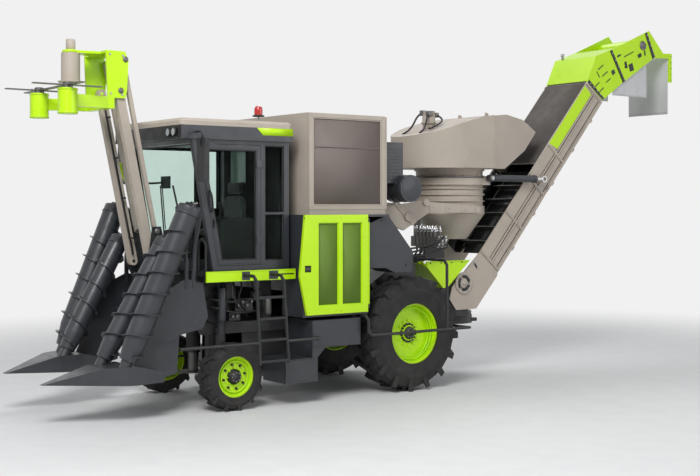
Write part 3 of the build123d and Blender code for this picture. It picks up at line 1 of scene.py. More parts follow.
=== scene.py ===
"""Looks for the wheeled sugarcane chopper harvester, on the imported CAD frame.

Metres. Places are written as x, distance behind the rear axle and height; at() turns them into the frame's.
"""
import json
import math

import bmesh
import bpy
from mathutils import Matrix, Vector


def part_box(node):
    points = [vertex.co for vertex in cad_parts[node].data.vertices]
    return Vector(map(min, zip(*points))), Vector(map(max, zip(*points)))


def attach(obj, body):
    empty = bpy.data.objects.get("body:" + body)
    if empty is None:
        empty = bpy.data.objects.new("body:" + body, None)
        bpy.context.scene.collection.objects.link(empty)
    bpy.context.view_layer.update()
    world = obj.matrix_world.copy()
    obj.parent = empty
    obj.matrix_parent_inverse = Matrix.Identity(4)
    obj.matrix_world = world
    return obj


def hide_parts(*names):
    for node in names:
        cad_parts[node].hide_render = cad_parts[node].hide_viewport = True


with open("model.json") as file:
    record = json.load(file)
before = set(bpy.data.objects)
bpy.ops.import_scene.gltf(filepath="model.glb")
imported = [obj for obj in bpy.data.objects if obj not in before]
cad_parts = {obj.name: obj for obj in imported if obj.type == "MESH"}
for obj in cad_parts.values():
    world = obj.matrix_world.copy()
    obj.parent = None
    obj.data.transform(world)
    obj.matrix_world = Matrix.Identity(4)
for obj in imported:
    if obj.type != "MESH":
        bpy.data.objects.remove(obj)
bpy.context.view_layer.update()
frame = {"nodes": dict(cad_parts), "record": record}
nodes = frame["nodes"]
REAR_AXLE = -0.57  # the axle's y in the frame
SIDES = (("left", 1), ("right", -1))
UP, OUTWARD = (0, 0, 1), (1, 0, 0)  # outward on the left side
ON_AXIS = 0.001  # radius at which a turned profile meets its axis
DUST = (0.3, 0.26, 0.21)


def at(x, aft, z):
    """Point in the frame."""
    return Vector((x, REAR_AXLE + aft, z))


# -------- materials
def mix_rgb(nt, fac, a, b, blend="MIX"):
    """Colour mix node; a and b are sockets or colours."""
    n = nt.nodes.new("ShaderNodeMix")
    n.data_type, n.blend_type = "RGBA", blend
    for socket, value in ((n.inputs["Factor"], fac), (n.inputs["A"], a), (n.inputs["B"], b)):
        if isinstance(value, bpy.types.NodeSocket):
            nt.links.new(value, socket)
        else:
            socket.default_value = value if isinstance(value, float) else (*value[:3], 1)
    return n.outputs["Result"]


def noise(nt, vector, scale, detail=3.0, rough=0.55, low=0.35, high=0.65):
    """Noise stretched to 0..1 between low and high."""
    n = nt.nodes.new("ShaderNodeTexNoise")
    n.inputs["Scale"].default_value, n.inputs["Detail"].default_value = scale, detail
    n.inputs["Roughness"].default_value = rough
    nt.links.new(vector, n.inputs["Vector"])
    r = nt.nodes.new("ShaderNodeMapRange")
    r.inputs["From Min"].default_value, r.inputs["From Max"].default_value = low, high
    nt.links.new(n.outputs["Fac"], r.inputs["Value"])
    return r.outputs["Result"]


def math_node(nt, op, a, b=0.0):
    """Math node; a and b are sockets or numbers."""
    n = nt.nodes.new("ShaderNodeMath")
    n.operation = op
    for socket, value in zip(n.inputs, (a, b)):
        if isinstance(value, bpy.types.NodeSocket):
            nt.links.new(value, socket)
        else:
            socket.default_value = value
    return n.outputs[0]


def material(name, color, rough=0.4, metal=0.0, coat=0.0, grain=160.0, bump=0.04, vary=0.06, dust=0.18,
             dust_top=1.5, wear=0.0, wear_color=(0.35, 0.34, 0.33), transmit=0.0, sheen=0.0):
    """Painted, cast or moulded surface: tone variation, fine grain, dust settling low down, and scuffs."""
    m = bpy.data.materials.new(name)
    m.use_nodes = True
    nt = m.node_tree
    shader = nt.nodes["Principled BSDF"]
    coords = nt.nodes.new("ShaderNodeTexCoord").outputs["Object"]
    shade = noise(nt, coords, 1.7, 4)
    base = mix_rgb(nt, shade, [c * (1 - vary) for c in color], [min(c * (1 + vary), 1) for c in color])
    if wear:
        scuff = math_node(nt, "MULTIPLY", noise(nt, coords, 9, 8, 0.7, 0.58, 0.72), wear)
        base = mix_rgb(nt, scuff, base, wear_color)
    if dust:
        height = nt.nodes.new("ShaderNodeSeparateXYZ")
        nt.links.new(coords, height.inputs[0])
        fall = nt.nodes.new("ShaderNodeMapRange")
        fall.inputs["From Min"].default_value, fall.inputs["From Max"].default_value = dust_top, 0.0
        nt.links.new(height.outputs["Z"], fall.inputs["Value"])
        cover = math_node(nt, "MULTIPLY", fall.outputs["Result"], noise(nt, coords, 5, 6, 0.65, 0.3, 0.75))
        base = mix_rgb(nt, math_node(nt, "MULTIPLY", cover, dust), base, DUST)
    nt.links.new(base, shader.inputs["Base Color"])
    rough_map = nt.nodes.new("ShaderNodeMapRange")
    rough_map.inputs["To Min"].default_value = max(rough - 0.07, 0.03)
    rough_map.inputs["To Max"].default_value = min(rough + 0.1, 1)
    nt.links.new(noise(nt, coords, 6, 5), rough_map.inputs["Value"])
    nt.links.new(rough_map.outputs["Result"], shader.inputs["Roughness"])
    shader.inputs["Metallic"].default_value = metal
    shader.inputs["Coat Weight"].default_value = coat
    shader.inputs["Coat Roughness"].default_value = 0.12
    shader.inputs["Transmission Weight"].default_value = transmit
    shader.inputs["Sheen Weight"].default_value = sheen
    shader.inputs["IOR"].default_value = 1.45
    bumper = nt.nodes.new("ShaderNodeBump")
    bumper.inputs["Strength"].default_value = bump
    bumper.inputs["Distance"].default_value = 0.004
    nt.links.new(noise(nt, coords, grain, 3, 0.5, 0.2, 0.8), bumper.inputs["Height"])
    nt.links.new(bumper.outputs["Normal"], shader.inputs["Normal"])
    m.diffuse_color = (*color[:3], 1)
    return m


lime = material("lime_paint", (0.51, 0.83, 0.002), 0.34, coat=0.15, grain=220, bump=0.03, vary=0.03,
        dust=0.04)
beige = material("beige_paint", (0.44, 0.385, 0.325), 0.52, dust=0.06)
cover_brown = material("brown_cover", (0.085, 0.074, 0.067), 0.8, dust=0)
slate = material("slate_paint", (0.03, 0.033, 0.04), 0.4, coat=0.2, wear=0.05, dust=0.08)
black = material("chassis_black", (0.014, 0.015, 0.017), 0.45, coat=0.1, wear=0.06, dust=0.08)
steel = material("worn_steel", (0.16, 0.155, 0.15), 0.42, metal=0.85, wear=0.3,
        wear_color=(0.09, 0.06, 0.045), dust=0.1)
bolt_steel = material("zinc_bolts", (0.42, 0.42, 0.42), 0.32, metal=0.9, dust=0.05)
chrome = material("rod_chrome", (0.75, 0.75, 0.77), 0.09, metal=1.0, bump=0.01, vary=0.02, dust=0)
rubber = material("tyre_rubber", (0.011, 0.011, 0.012), 0.7, grain=260, bump=0.12, dust=0.1, dust_top=1.2)
moulded = material("moulded_black", (0.014, 0.014, 0.015), 0.48, grain=400, bump=0.1, dust=0.05)
fabric = material("seat_cloth", (0.035, 0.036, 0.04), 0.85, grain=700, bump=0.25, sheen=0.3, dust=0)
flap_grey = material("grey_flap", (0.56, 0.56, 0.57), 0.62, grain=500, bump=0.2, sheen=0.15, dust=0)
red = material("red_lens", (0.62, 0.008, 0.006), 0.12, coat=0.8, grain=60, bump=0.05, dust=0, transmit=0.25)
lens = material("lamp_lens", (0.36, 0.38, 0.4), 0.1, coat=0.5, grain=90, bump=0.12, vary=0.02, dust=0)
mirror_glass = material("mirror_face", (0.7, 0.72, 0.74), 0.03, metal=1.0, bump=0.0, vary=0.01, dust=0)
pane_grey = material("rear_glass", (0.2, 0.27, 0.235), 0.08, coat=0.4, bump=0.0, vary=0.03, dust=0)
lining = material("cab_lining", (0.009, 0.009, 0.01), 0.9, bump=0.0, dust=0)
hose = material("hose_rubber", (0.012, 0.012, 0.013), 0.5, grain=300, bump=0.08, dust=0.1)


def tinted_glass():
    """Lightly tinted pane."""
    m = bpy.data.materials.new("cab_pane")
    m.use_nodes = True
    nt = m.node_tree
    shader = nt.nodes["Principled BSDF"]
    coords = nt.nodes.new("ShaderNodeTexCoord").outputs["Object"]
    tone = mix_rgb(nt, noise(nt, coords, 2, 2), (0.74, 0.84, 0.8), (0.78, 0.88, 0.84))
    nt.links.new(tone, shader.inputs["Base Color"])
    shader.inputs["Roughness"].default_value = 0.01
    shader.inputs["Transmission Weight"].default_value = 1.0
    shader.inputs["IOR"].default_value = 1.01
    return m


glass = tinted_glass()


def mesh_panel(name, color, hole, pitch, depth=0.6):
    """Wire screen: dark holes in a woven grid, in the side view."""
    m = material(name, color, 0.62, dust=0, bump=0.03)
    nt = m.node_tree
    shader = nt.nodes["Principled BSDF"]
    coords = nt.nodes.new("ShaderNodeTexCoord").outputs["Object"]
    split = nt.nodes.new("ShaderNodeSeparateXYZ")
    nt.links.new(coords, split.inputs[0])
    waves = []
    for axis in ("Y", "Z"):
        turned = math_node(nt, "MULTIPLY", split.outputs[axis], 2 * math.pi / pitch)
        waves.append(math_node(nt, "COSINE", turned))
    both = math_node(nt, "MULTIPLY", waves[0], waves[1])
    mask = nt.nodes.new("ShaderNodeMapRange")
    mask.inputs["From Min"].default_value, mask.inputs["From Max"].default_value = 0.05, 0.35
    nt.links.new(math_node(nt, "ABSOLUTE", both), mask.inputs["Value"])
    old = shader.inputs["Base Color"].links[0].from_socket
    nt.links.new(mix_rgb(nt, math_node(nt, "MULTIPLY", mask.outputs["Result"], depth), old, hole),
            shader.inputs["Base Color"])
    return m


lime_mesh = mesh_panel("lime_screen", (0.175, 0.29, 0.035), (0.05, 0.09, 0.012), 0.014)
beige_mesh = mesh_panel("beige_screen", (0.235, 0.195, 0.175), (0.1, 0.082, 0.074), 0.012)

SLOTS = {"lime": lime, "beige": beige, "slate": slate, "frame_black": black, "steel": steel, "rod": chrome,
        "tyre": rubber, "glass": glass, "lamp": lens, "seat": fabric, "trim": moulded, "flap": flap_grey}
for row in frame["record"]["subparts"]:
    for material_slot in nodes[row["node"]].material_slots:
        material_slot.material = SLOTS[row["material_slot"]]

# finishes of the added pieces: material and slot
TRIM, HOSE, LINING, PANE = (moulded, "trim"), (hose, "trim"), (lining, "trim"), (pane_grey, "trim")
LIME, LIME_MESH, SLATE, BLACK = (lime, "lime"), (lime_mesh, "lime"), (slate, "slate"), (black, "frame_black")
BEIGE, BEIGE_MESH, BROWN = (beige, "beige"), (beige_mesh, "beige"), (cover_brown, "beige")
STEEL, ZINC, CHROME, MIRROR = (steel, "steel"), (bolt_steel, "steel"), (chrome, "rod"), (mirror_glass, "rod")
TYRE, CLOTH, FLAP = (rubber, "tyre"), (fabric, "seat"), (flap_grey, "flap")
RED, LENS = (red, "lamp"), (lens, "lamp")


# -------- making pieces
def keep(obj, body, finish, smooth=True, bevel=0.0):
    """Finish a new piece: material, rounded edges, and the body it rides on."""
    mat, slot = finish
    obj.data.materials.append(mat)
    if smooth and obj.type == "MESH":
        for face in obj.data.polygons:
            face.use_smooth = True
    if bevel:
        mod = obj.modifiers.new("edge", "BEVEL")
        mod.width, mod.segments, mod.limit_method, mod.angle_limit = bevel, 2, "ANGLE", math.radians(40)
        mod.harden_normals = True
    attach(obj, body)
    return obj


def new_mesh(name, bm):
    """Object in the scene from bm, its faces turned outwards."""
    bmesh.ops.recalc_face_normals(bm, faces=bm.faces)
    data = bpy.data.meshes.new(name)
    bm.to_mesh(data)
    bm.free()
    obj = bpy.data.objects.new(name, data)
    bpy.context.scene.collection.objects.link(obj)
    return obj


def add_box(bm, centre, size, turn=None):
    """Box into bm; turn is a rotation matrix about its centre."""
    place = Matrix.Translation(centre) @ (turn.to_4x4() if turn
            else Matrix.Identity(4)) @ Matrix.Diagonal((*size, 1))
    bmesh.ops.create_cube(bm, size=1, matrix=place)


def add_disc(bm, centre, direction, radius, length, segments=24, top=None):
    """Cylinder or cone into bm, from centre along direction."""
    direction = Vector(direction).normalized()
    place = Matrix.Translation(Vector(centre) + direction * length / 2) @ direction.to_track_quat("Z",
            "Y").to_matrix().to_4x4()
    bmesh.ops.create_cone(bm, cap_ends=True, segments=segments, radius1=radius, radius2=radius if top is None
            else top, depth=length, matrix=place)


def boxes(name, rows, body, finish, bevel=0.002):
    """One piece of several boxes, each (centre, size) or (centre, size, turn)."""
    bm = bmesh.new()
    for row in rows:
        add_box(bm, *row)
    return keep(new_mesh(name, bm), body, finish, bevel=bevel)


def discs(name, rows, body, finish, bevel=0.002, segments=24):
    """One piece of several cylinders, each (centre, direction, radius, length[, top radius])."""
    bm = bmesh.new()
    for centre, direction, radius, length, *top in rows:
        add_disc(bm, centre, direction, radius, length, segments, top[0] if top else None)
    return keep(new_mesh(name, bm), body, finish, bevel=bevel)


def prism(name, outline, x_low, x_high, body, finish, bevel=0.003):
    """Plate or block from a side outline of (aft, z) points between two x."""
    bm = bmesh.new()
    ends = [[bm.verts.new(at(x, y, z)) for y, z in outline] for x in (x_low, x_high)]
    for end in ends:
        bm.faces.new(end)
    for i in range(len(outline)):
        j = (i + 1) % len(outline)
        bm.faces.new((ends[0][i], ends[0][j], ends[1][j], ends[1][i]))
    return keep(new_mesh(name, bm), body, finish, bevel=bevel)


def tube(name, points, radius, body, finish, closed=False):
    """Round tube or hose along smooth points, or a closed loop of straight runs."""
    curve = bpy.data.curves.new(name, "CURVE")
    curve.dimensions = "3D"
    spline = curve.splines.new("POLY" if closed else "NURBS")
    spline.points.add(len(points) - 1)
    for target, point in zip(spline.points, points):
        target.co = (*point, 1)
    if not closed:
        spline.order_u, spline.use_endpoint_u = 3, True
    spline.use_cyclic_u = closed
    curve.resolution_u = 6
    curve.bevel_depth, curve.bevel_resolution, curve.use_fill_caps = radius, 2, True
    obj = bpy.data.objects.new(name, curve)
    bpy.context.scene.collection.objects.link(obj)
    keep(obj, body, finish)


def bolts(name, places, direction, radius, height, body, finish=ZINC):
    """Hex heads on washers at the places."""
    bm = bmesh.new()
    direction = Vector(direction).normalized()
    for place in places:
        add_disc(bm, place, direction, radius * 1.25, height * 0.3, 16)
        add_disc(bm, Vector(place) + direction * height * 0.25, direction, radius, height * 0.75, 6)
    return keep(new_mesh(name, bm), body, finish, smooth=False)


def ring(centre, axis, radius, count, phase=0.0):
    """Points on a circle."""
    axis = Vector(axis).normalized()
    u = axis.orthogonal().normalized()
    v = axis.cross(u)
    return [Vector(centre) + radius * (math.cos(a) * u + math.sin(a) * v)
            for a in (phase + 2 * math.pi * k / count for k in range(count))]


# -------- camera, light and floor
def backdrop_rays(nt):
    """1 for the rays that show the pale backdrop: camera, transmission and glossy ones."""
    rays = nt.nodes.new("ShaderNodeLightPath").outputs
    through = math_node(nt, "MAXIMUM", rays["Is Transmission Ray"], rays["Is Glossy Ray"])
    return math_node(nt, "MAXIMUM", rays["Is Camera Ray"], through)


# solved from the photograph; focal length and the horizon's row are in pixels of its image
IMAGE_WIDTH, IMAGE_HEIGHT, FOCAL_PIXELS, HORIZON_ROW = 700, 476, 1184, 204.4
CAMERA_PLACE, CAMERA_HEADING = (13.41, -10.71, 2.512), (-0.805, 0.593, 0)
BACKDROP = (0.88, 0.88, 0.88)
AMBIENT, AMBIENT_STRENGTH = (0.5, 0.52, 0.55), 0.55
FADE_START, FADE_END = 5.5, 13.0  # distances at which the floor runs into the backdrop
camera_data = bpy.data.cameras.new("camera")
camera_data.sensor_width, camera_data.lens = 36.0, 36.0 * FOCAL_PIXELS / IMAGE_WIDTH
camera_data.shift_y = -(IMAGE_HEIGHT / 2 - HORIZON_ROW) / IMAGE_WIDTH
camera = bpy.data.objects.new("camera", camera_data)
camera.location = CAMERA_PLACE
camera.rotation_euler = Vector(CAMERA_HEADING).to_track_quat("-Z", "Y").to_euler()
bpy.context.scene.collection.objects.link(camera)
bpy.context.scene.camera = camera

world = bpy.data.worlds.new("studio")
bpy.context.scene.world = world
world.use_nodes = True
wt = world.node_tree
background = wt.nodes["Background"]
seen = backdrop_rays(wt)
wt.links.new(mix_rgb(wt, seen, AMBIENT, BACKDROP), background.inputs["Color"])
strength = math_node(wt, "ADD", math_node(wt, "MULTIPLY", seen, 1 - AMBIENT_STRENGTH), AMBIENT_STRENGTH)
wt.links.new(strength, background.inputs["Strength"])

for name, place, size, power, target in (
    ("key", (7.5, -9.5, 10.5), 6.0, 1350, (0, -1, 1.5)),
    ("fill", (12.0, 6.0, 6.0), 8.0, 330, (0, 0.5, 2)),
    ("back", (-5.0, 3.0, 12.0), 6.0, 420, (0, 0, 2)),
):
    light = bpy.data.lights.new(name, "AREA")
    light.shape, light.size, light.energy = "DISK", size, power
    lamp = bpy.data.objects.new(name, light)
    lamp.location = place
    lamp.rotation_euler = (Vector(target) - Vector(place)).to_track_quat("-Z", "Y").to_euler()
    bpy.context.scene.collection.objects.link(lamp)

bm = bmesh.new()
bmesh.ops.create_circle(bm, cap_ends=True, segments=64, radius=40)
floor = new_mesh("floor", bm)
floor.location.z = -0.001
floor_mat = bpy.data.materials.new("pale_floor")
floor_mat.use_nodes = True
ft = floor_mat.node_tree
fs = ft.nodes["Principled BSDF"]
coords = ft.nodes.new("ShaderNodeTexCoord").outputs["Object"]
ft.links.new(mix_rgb(ft, noise(ft, coords, 3, 3), (0.74, 0.74, 0.74), (0.77, 0.77, 0.77)),
        fs.inputs["Base Color"])
fs.inputs["Roughness"].default_value = 0.7
# away from the object the floor runs into the backdrop's tone
reach = ft.nodes.new("ShaderNodeVectorMath")
reach.operation = "LENGTH"
ft.links.new(coords, reach.inputs[0])
fade = ft.nodes.new("ShaderNodeMapRange")
fade.interpolation_type = "SMOOTHSTEP"
fade.inputs["From Min"].default_value, fade.inputs["From Max"].default_value = FADE_START, FADE_END
ft.links.new(reach.outputs["Value"], fade.inputs["Value"])
far = ft.nodes.new("ShaderNodeEmission")
far.inputs["Color"].default_value, far.inputs["Strength"].default_value = (*BACKDROP, 1), 1.0
blend_floor = ft.nodes.new("ShaderNodeMixShader")
ft.links.new(math_node(ft, "MULTIPLY", fade.outputs["Result"], backdrop_rays(ft)), blend_floor.inputs[0])
ft.links.new(fs.outputs[0], blend_floor.inputs[1])
ft.links.new(far.outputs[0], blend_floor.inputs[2])
ft.links.new(blend_floor.outputs[0], ft.nodes["Material Output"].inputs["Surface"])
floor.data.materials.append(floor_mat)
bpy.context.scene.view_settings.view_transform = "Standard"

# -------- places taken from the frame
door_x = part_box("engine_door")[1].x
cooling_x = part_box("cooling_door")[1].x
CAB_SIDE = 0.85  # outer face of the cab's side panels
CAB_BASE, CAB_TOP = 1.7, 3.3
BOOM_SIDE = 0.45  # outer face of the elevator's side plates
BOOM_TURN = math.radians(49.2)
BOOM_LOW = (1.8, 1.81)  # lower end of the elevator's top edge: distance aft, height
FOOT = (1.463, 1.364)  # elevator shaft: distance aft, height
AXLE_Z, FRONT_Z, FRONT_AFT = 0.775, 0.416, -2.73
MIRROR_LOW, MIRROR_HIGH, MIRROR_AFT = 2.78, 3.3, -3.22
CURTAIN_FRONT, CURTAIN_LENGTH, CURTAIN_TOP, CURTAIN_LOW = 4.74, 0.84, 4.89, 4.29


def cab_front(z):
    """Distance aft of the leaning cab front at a height."""
    return -2.95 - 0.29 * (z - CAB_BASE) / (CAB_TOP - CAB_BASE)


def boom_place(up, depth):
    """(aft, z) on the elevator: distance up from the lower end, depth below its top edge."""
    return (BOOM_LOW[0] + up * math.cos(BOOM_TURN) + depth * math.sin(BOOM_TURN), BOOM_LOW[1] +
            up * math.sin(BOOM_TURN) - depth * math.cos(BOOM_TURN))


def on_boom(x, up, depth):
    """The same as a point."""
    return at(x, *boom_place(up, depth))


def along_boom(x, up, depth, size):
    """Row for boxes(): a box that lies along the elevator."""
    return on_boom(x, up, depth), size, Matrix.Rotation(BOOM_TURN, 3, "X")


def plate(name, corners, thick, body, finish, bevel=0.002):
    """Flat plate through the corner points, thickened along its normal."""
    normal = (corners[1] - corners[0]).cross(corners[2] - corners[0]).normalized() * thick
    bm = bmesh.new()
    rings = [[bm.verts.new(p + shift) for p in corners] for shift in (Vector(), normal)]
    for loop in rings:
        bm.faces.new(loop)
    for i in range(len(corners)):
        j = (i + 1) % len(corners)
        bm.faces.new((rings[0][i], rings[0][j], rings[1][j], rings[1][i]))
    return keep(new_mesh(name, bm), body, finish, bevel=bevel)


def lathe(name, profile, centre, axis, body, finish, segments=64):
    """Turned piece: (radius, along) points swept round the axis, in a ring unless one end meets the axis."""
    axis = Vector(axis).normalized()
    bm = bmesh.new()
    loops = []
    for radius, along in profile:
        loops.append([bm.verts.new(p) for p in ring(Vector(centre) + axis * along, axis, radius, segments)])
    if min(profile[0][0], profile[-1][0]) > ON_AXIS:
        loops.append(loops[0])
    for a, b in zip(loops, loops[1:]):
        for i in range(segments):
            j = (i + 1) % segments
            bm.faces.new((a[i], a[j], b[j], b[i]))
    return keep(new_mesh(name, bm), body, finish)


def knob(name, profile, dome, centre, axis, body, finish, segments=64):
    """Turned solid: the profile runs to the axis at both ends, higher by dome at its last."""
    ends = (ON_AXIS, profile[0][1]), (ON_AXIS, profile[-1][1] + dome)
    return lathe(name, (ends[0], *profile, ends[1]), centre, axis, body, finish, segments)


def frame_loop(name, outline, x, width, thick, body, finish, bevel=0.002):
    """Flat border that follows a closed side outline, inside it, standing thick off the plane x."""
    points = [Vector((0, *at(0, y, z)[1:])) for y, z in outline]
    middle = sum(points, Vector()) / len(points)
    inner = []
    for i, p in enumerate(points):
        before, after = (points[i - 1] - p).normalized(), (points[(i + 1) % len(points)] - p).normalized()
        half = before.angle(after) / 2
        inward = (before + after).normalized()
        inner.append(p + inward * width / math.sin(half))
    bm = bmesh.new()
    rings = [[bm.verts.new(p + Vector((shift, 0, 0))) for p in line] for shift in (x, x + thick)
            for line in (points, inner)]
    outer_low, inner_low, outer_high, inner_high = rings
    count = len(points)
    for i in range(count):
        j = (i + 1) % count
        for a, b in ((outer_low, inner_low), (inner_low, inner_high), (inner_high, outer_high),
                (outer_high, outer_low)):
            bm.faces.new((a[i], a[j], b[j], b[i]))
    return keep(new_mesh(name, bm), body, finish, bevel=bevel)


# -------- wheels
for label, side in SIDES:
    out = (side, 0, 0)
    for end, aft, z, tyre_mid, tyre_half, dish, rim_r, carcass, hub, nuts, nut_circle in (
            ("rear", 0, AXLE_Z, 0.895, 0.235, 0.134, 0.405, 0.737, 0.085, 16, 0.118),
            ("front", FRONT_AFT, FRONT_Z, 0.88, 0.15, 0.044, 0.25, 0.398, 0.075, 8, 0.15)):
        body = f"wheel_{end}_{label}"
        rim_edge = tyre_mid + tyre_half * 0.86
        centre = at(side * (rim_edge - dish), aft, z)
        # hub: dark boss with a cap, ringed by nuts
        knob(f"{end}_hub_{label}", ((hub + 0.02, 0), (hub + 0.02, 0.012), (hub, 0.02), (hub, 0.05),
                 (hub - 0.012, 0.062), (0.03, 0.064), (0.028, 0.072)), 0, centre, out, body, BLACK, 48)
        bolts(f"{end}_hub_bolts_{label}", ring(centre + Vector((side * 0.06, 0, 0)), out, hub * 0.7, 8), out,
              0.006, 0.006, body)
        bolts(f"{end}_nuts_{label}", ring(centre, out, nut_circle, nuts, 0.2), out, 0.013, 0.028, body,
              BLACK)
        # raised bands and bead seat of the rim
        for band, along in ((rim_r - 0.012, dish - 0.004), (rim_r - 0.055, dish * 0.62),
                (rim_r - 0.062, dish * 0.3)):
            lathe(f"{end}_rim_band{int(band * 1000)}_{label}", ((band, along - 0.01), (band, along),
                      (band - 0.01, along + 0.003), (band - 0.016, along - 0.004),
                      (band - 0.012, along - 0.012)), centre, out, body, LIME, 72)
        # sidewall: moulded ribs
        wall = tyre_half - 0.004
        for count, share in enumerate((0.12, 0.3, 0.52)):
            rib = rim_r + share * (carcass - rim_r)
            lathe(f"{end}_rib{count}_{label}", ((rib, wall - 0.01), (rib + 0.004, wall + 0.003),
                      (rib + 0.012, wall + 0.003), (rib + 0.016, wall - 0.01)), at(side * tyre_mid, aft, z),
                  out, body, TYRE, 72)

# -------- service doors
grille_x = door_x - 0.022
for count, middle in enumerate((-1.429, -1.053)):
    boxes(f"engine_screen_{count}", [(at(grille_x, middle, 1.7525), (0.003, 0.3, 1.043))], "engine_door",
          LIME_MESH, 0.0)
    corners = [(middle - 0.156, 1.225), (middle + 0.156, 1.225), (middle + 0.156, 2.28),
            (middle - 0.156, 2.28)]
    frame_loop(f"engine_screen_frame_{count}", corners, grille_x + 0.001, 0.01, 0.008, "engine_door", LIME)
    boxes(f"engine_screen_stays_{count}", [(at(grille_x - 0.006, middle, z), (0.006, 0.3, 0.012))
              for z in (1.48, 1.75, 2.02)], "engine_door", BLACK, 0.001)
boxes("engine_latch", [(at(door_x - 0.003, -1.748, 1.7), (0.006, 0.1, 0.09)),
          (at(door_x - 0.001, -1.748, 1.7), (0.006, 0.078, 0.066))], "engine_door", TRIM, 0.003)
tube("engine_latch_grip", [at(door_x - 0.001, -1.775, 1.7), at(door_x, -1.748, 1.7),
         at(door_x - 0.001, -1.72, 1.7)], 0.007, "engine_door", STEEL)
bolts("engine_door_bolts", [at(door_x - 0.006, y, z) for y, z in ((-1.8, 2.34), (-0.83, 2.34), (-0.83, 1.15),
              (-1.73, 1.15), (-1.24, 2.34), (-1.24, 1.15))], OUTWARD, 0.007, 0.006, "engine_door", BLACK)

screen_x = cooling_x - 0.02
boxes("cooling_screen", [(at(screen_x + 0.002, -1.0265, 3.0615), (0.003, 1.095, 1.119))], "cooling_door",
      BEIGE_MESH, 0.0)
boxes("cooling_bar", [(at(screen_x + 0.007, -1.0265, 3.25), (0.008, 1.095, 0.012))], "cooling_door",
      BEIGE_MESH)
frame_loop("cooling_frame", [(-1.576, 2.5), (-0.477, 2.5), (-0.477, 3.623), (-1.576, 3.623)],
        screen_x + 0.002, 0.014, 0.012, "cooling_door", BEIGE)
bolts("cooling_bolts", [at(cooling_x - 0.006, y, z) for y in (-1.6, -1.0265, -0.455)
          for z in (2.475, 3.648)], OUTWARD, 0.006, 0.006, "cooling_door")

# -------- cab
post = 0.075
WINDOW_LOW, WINDOW_HIGH, DOOR_SILL = CAB_BASE + 0.11, CAB_TOP - 0.05, CAB_BASE + 0.06
DOOR_REAR, CAB_REAR = -2.25, -1.85


def opening(front, rear, low, high, inset=0.0):
    """Side outline of a window; front None follows the leaning post."""
    lean = front is None
    return [(cab_front(low) + post + inset if lean else front + inset, low + inset),
            (rear - inset, low + inset), (rear - inset, high - inset),
            (cab_front(high) + post + inset if lean else front + inset, high - inset)]


for label, side, outline, body in (
        ("rear_left", 1, opening(DOOR_REAR + 0.04, CAB_REAR - post, WINDOW_LOW, WINDOW_HIGH), "chassis"),
        ("front_right", -1, opening(None, DOOR_REAR - 0.02, WINDOW_LOW, WINDOW_HIGH), "chassis"),
        ("rear_right", -1, opening(DOOR_REAR + 0.04, CAB_REAR - post, WINDOW_LOW, WINDOW_HIGH), "chassis"),
        ("door", 1, opening(None, DOOR_REAR - 0.02, DOOR_SILL, WINDOW_HIGH, 0.065), "cab_door")):
    frame_loop(f"window_rubber_{label}", outline, side * (CAB_SIDE - 0.02), 0.016, side * 0.008, body, TRIM)
# door frame: raised band, lock and grip
frame_loop("door_band", opening(None, DOOR_REAR - 0.02, DOOR_SILL, WINDOW_HIGH, 0.022), CAB_SIDE - 0.001,
        0.026, 0.006, "cab_door", SLATE, 0.003)
boxes("door_lock", [(at(CAB_SIDE - 0.004, -2.945, 2.28), (0.018, 0.032, 0.12))], "cab_door", TRIM, 0.004)
tube("door_grip", [at(CAB_SIDE - 0.002, -2.975, 2.42), at(CAB_SIDE + 0.045, -2.972, 2.44),
         at(CAB_SIDE + 0.045, -2.995, 2.66), at(CAB_SIDE - 0.002, -3.005, 2.68)], 0.011, "cab_door", TRIM)
# bar across the left side's rear pane
boxes("rear_pane_bar", [(at(CAB_SIDE - 0.012, -2.068, 2.4), (0.024, 0.29, 0.03))], "chassis", SLATE, 0.004)
# windscreen rubber, wipers and their bosses
screen_top, screen_low = WINDOW_HIGH - 0.006, WINDOW_LOW + 0.006
pane_half = CAB_SIDE - post
for count, (x0, x1, z0, z1) in enumerate(((-pane_half, pane_half, screen_low, screen_low + 0.02),
        (-pane_half, pane_half, screen_top - 0.02, screen_top),
        (-pane_half, -pane_half + 0.02, screen_low, screen_top),
        (pane_half - 0.02, pane_half, screen_low, screen_top))):
    plate(f"screen_rubber_{count}", [at(x0, cab_front(z0) + 0.013, z0), at(x1, cab_front(z0) + 0.013, z0),
              at(x1, cab_front(z1) + 0.013, z1), at(x0, cab_front(z1) + 0.013, z1)], -0.006, "chassis", TRIM,
          0.0015)
WIPER_LOW, WIPER_HIGH, WIPER_X = 1.9, 2.75, 0.3
for count, (pivot_x, lean) in enumerate(((-WIPER_X, 0.16), (WIPER_X, -0.1))):
    places = [(t, WIPER_LOW + (WIPER_HIGH - WIPER_LOW) * t) for t in (0.0, 0.35, 0.7, 1.0)]
    points = [at(pivot_x + lean * t, cab_front(z) - 0.012, z) for t, z in places]
    tube(f"wiper_arm_{count}", points, 0.009, "chassis", TRIM)
    blade = [p + Vector((lean * 0.25, 0.004, 0)) for p in points[1:]]
    tube(f"wiper_blade_{count}", blade, 0.007, "chassis", HOSE)
discs("wiper_bosses", [(at(x, cab_front(WIPER_LOW) + 0.006, WIPER_LOW), (0, -1, 0.18), 0.028, 0.03)
          for x in (-WIPER_X, WIPER_X)], "chassis", TRIM)

# dark visor over the front of the fascia
boxes("fascia_visor", [(at(0, -3.4175, 3.386), (1.78, 0.006, 0.15))], "chassis", TRIM)
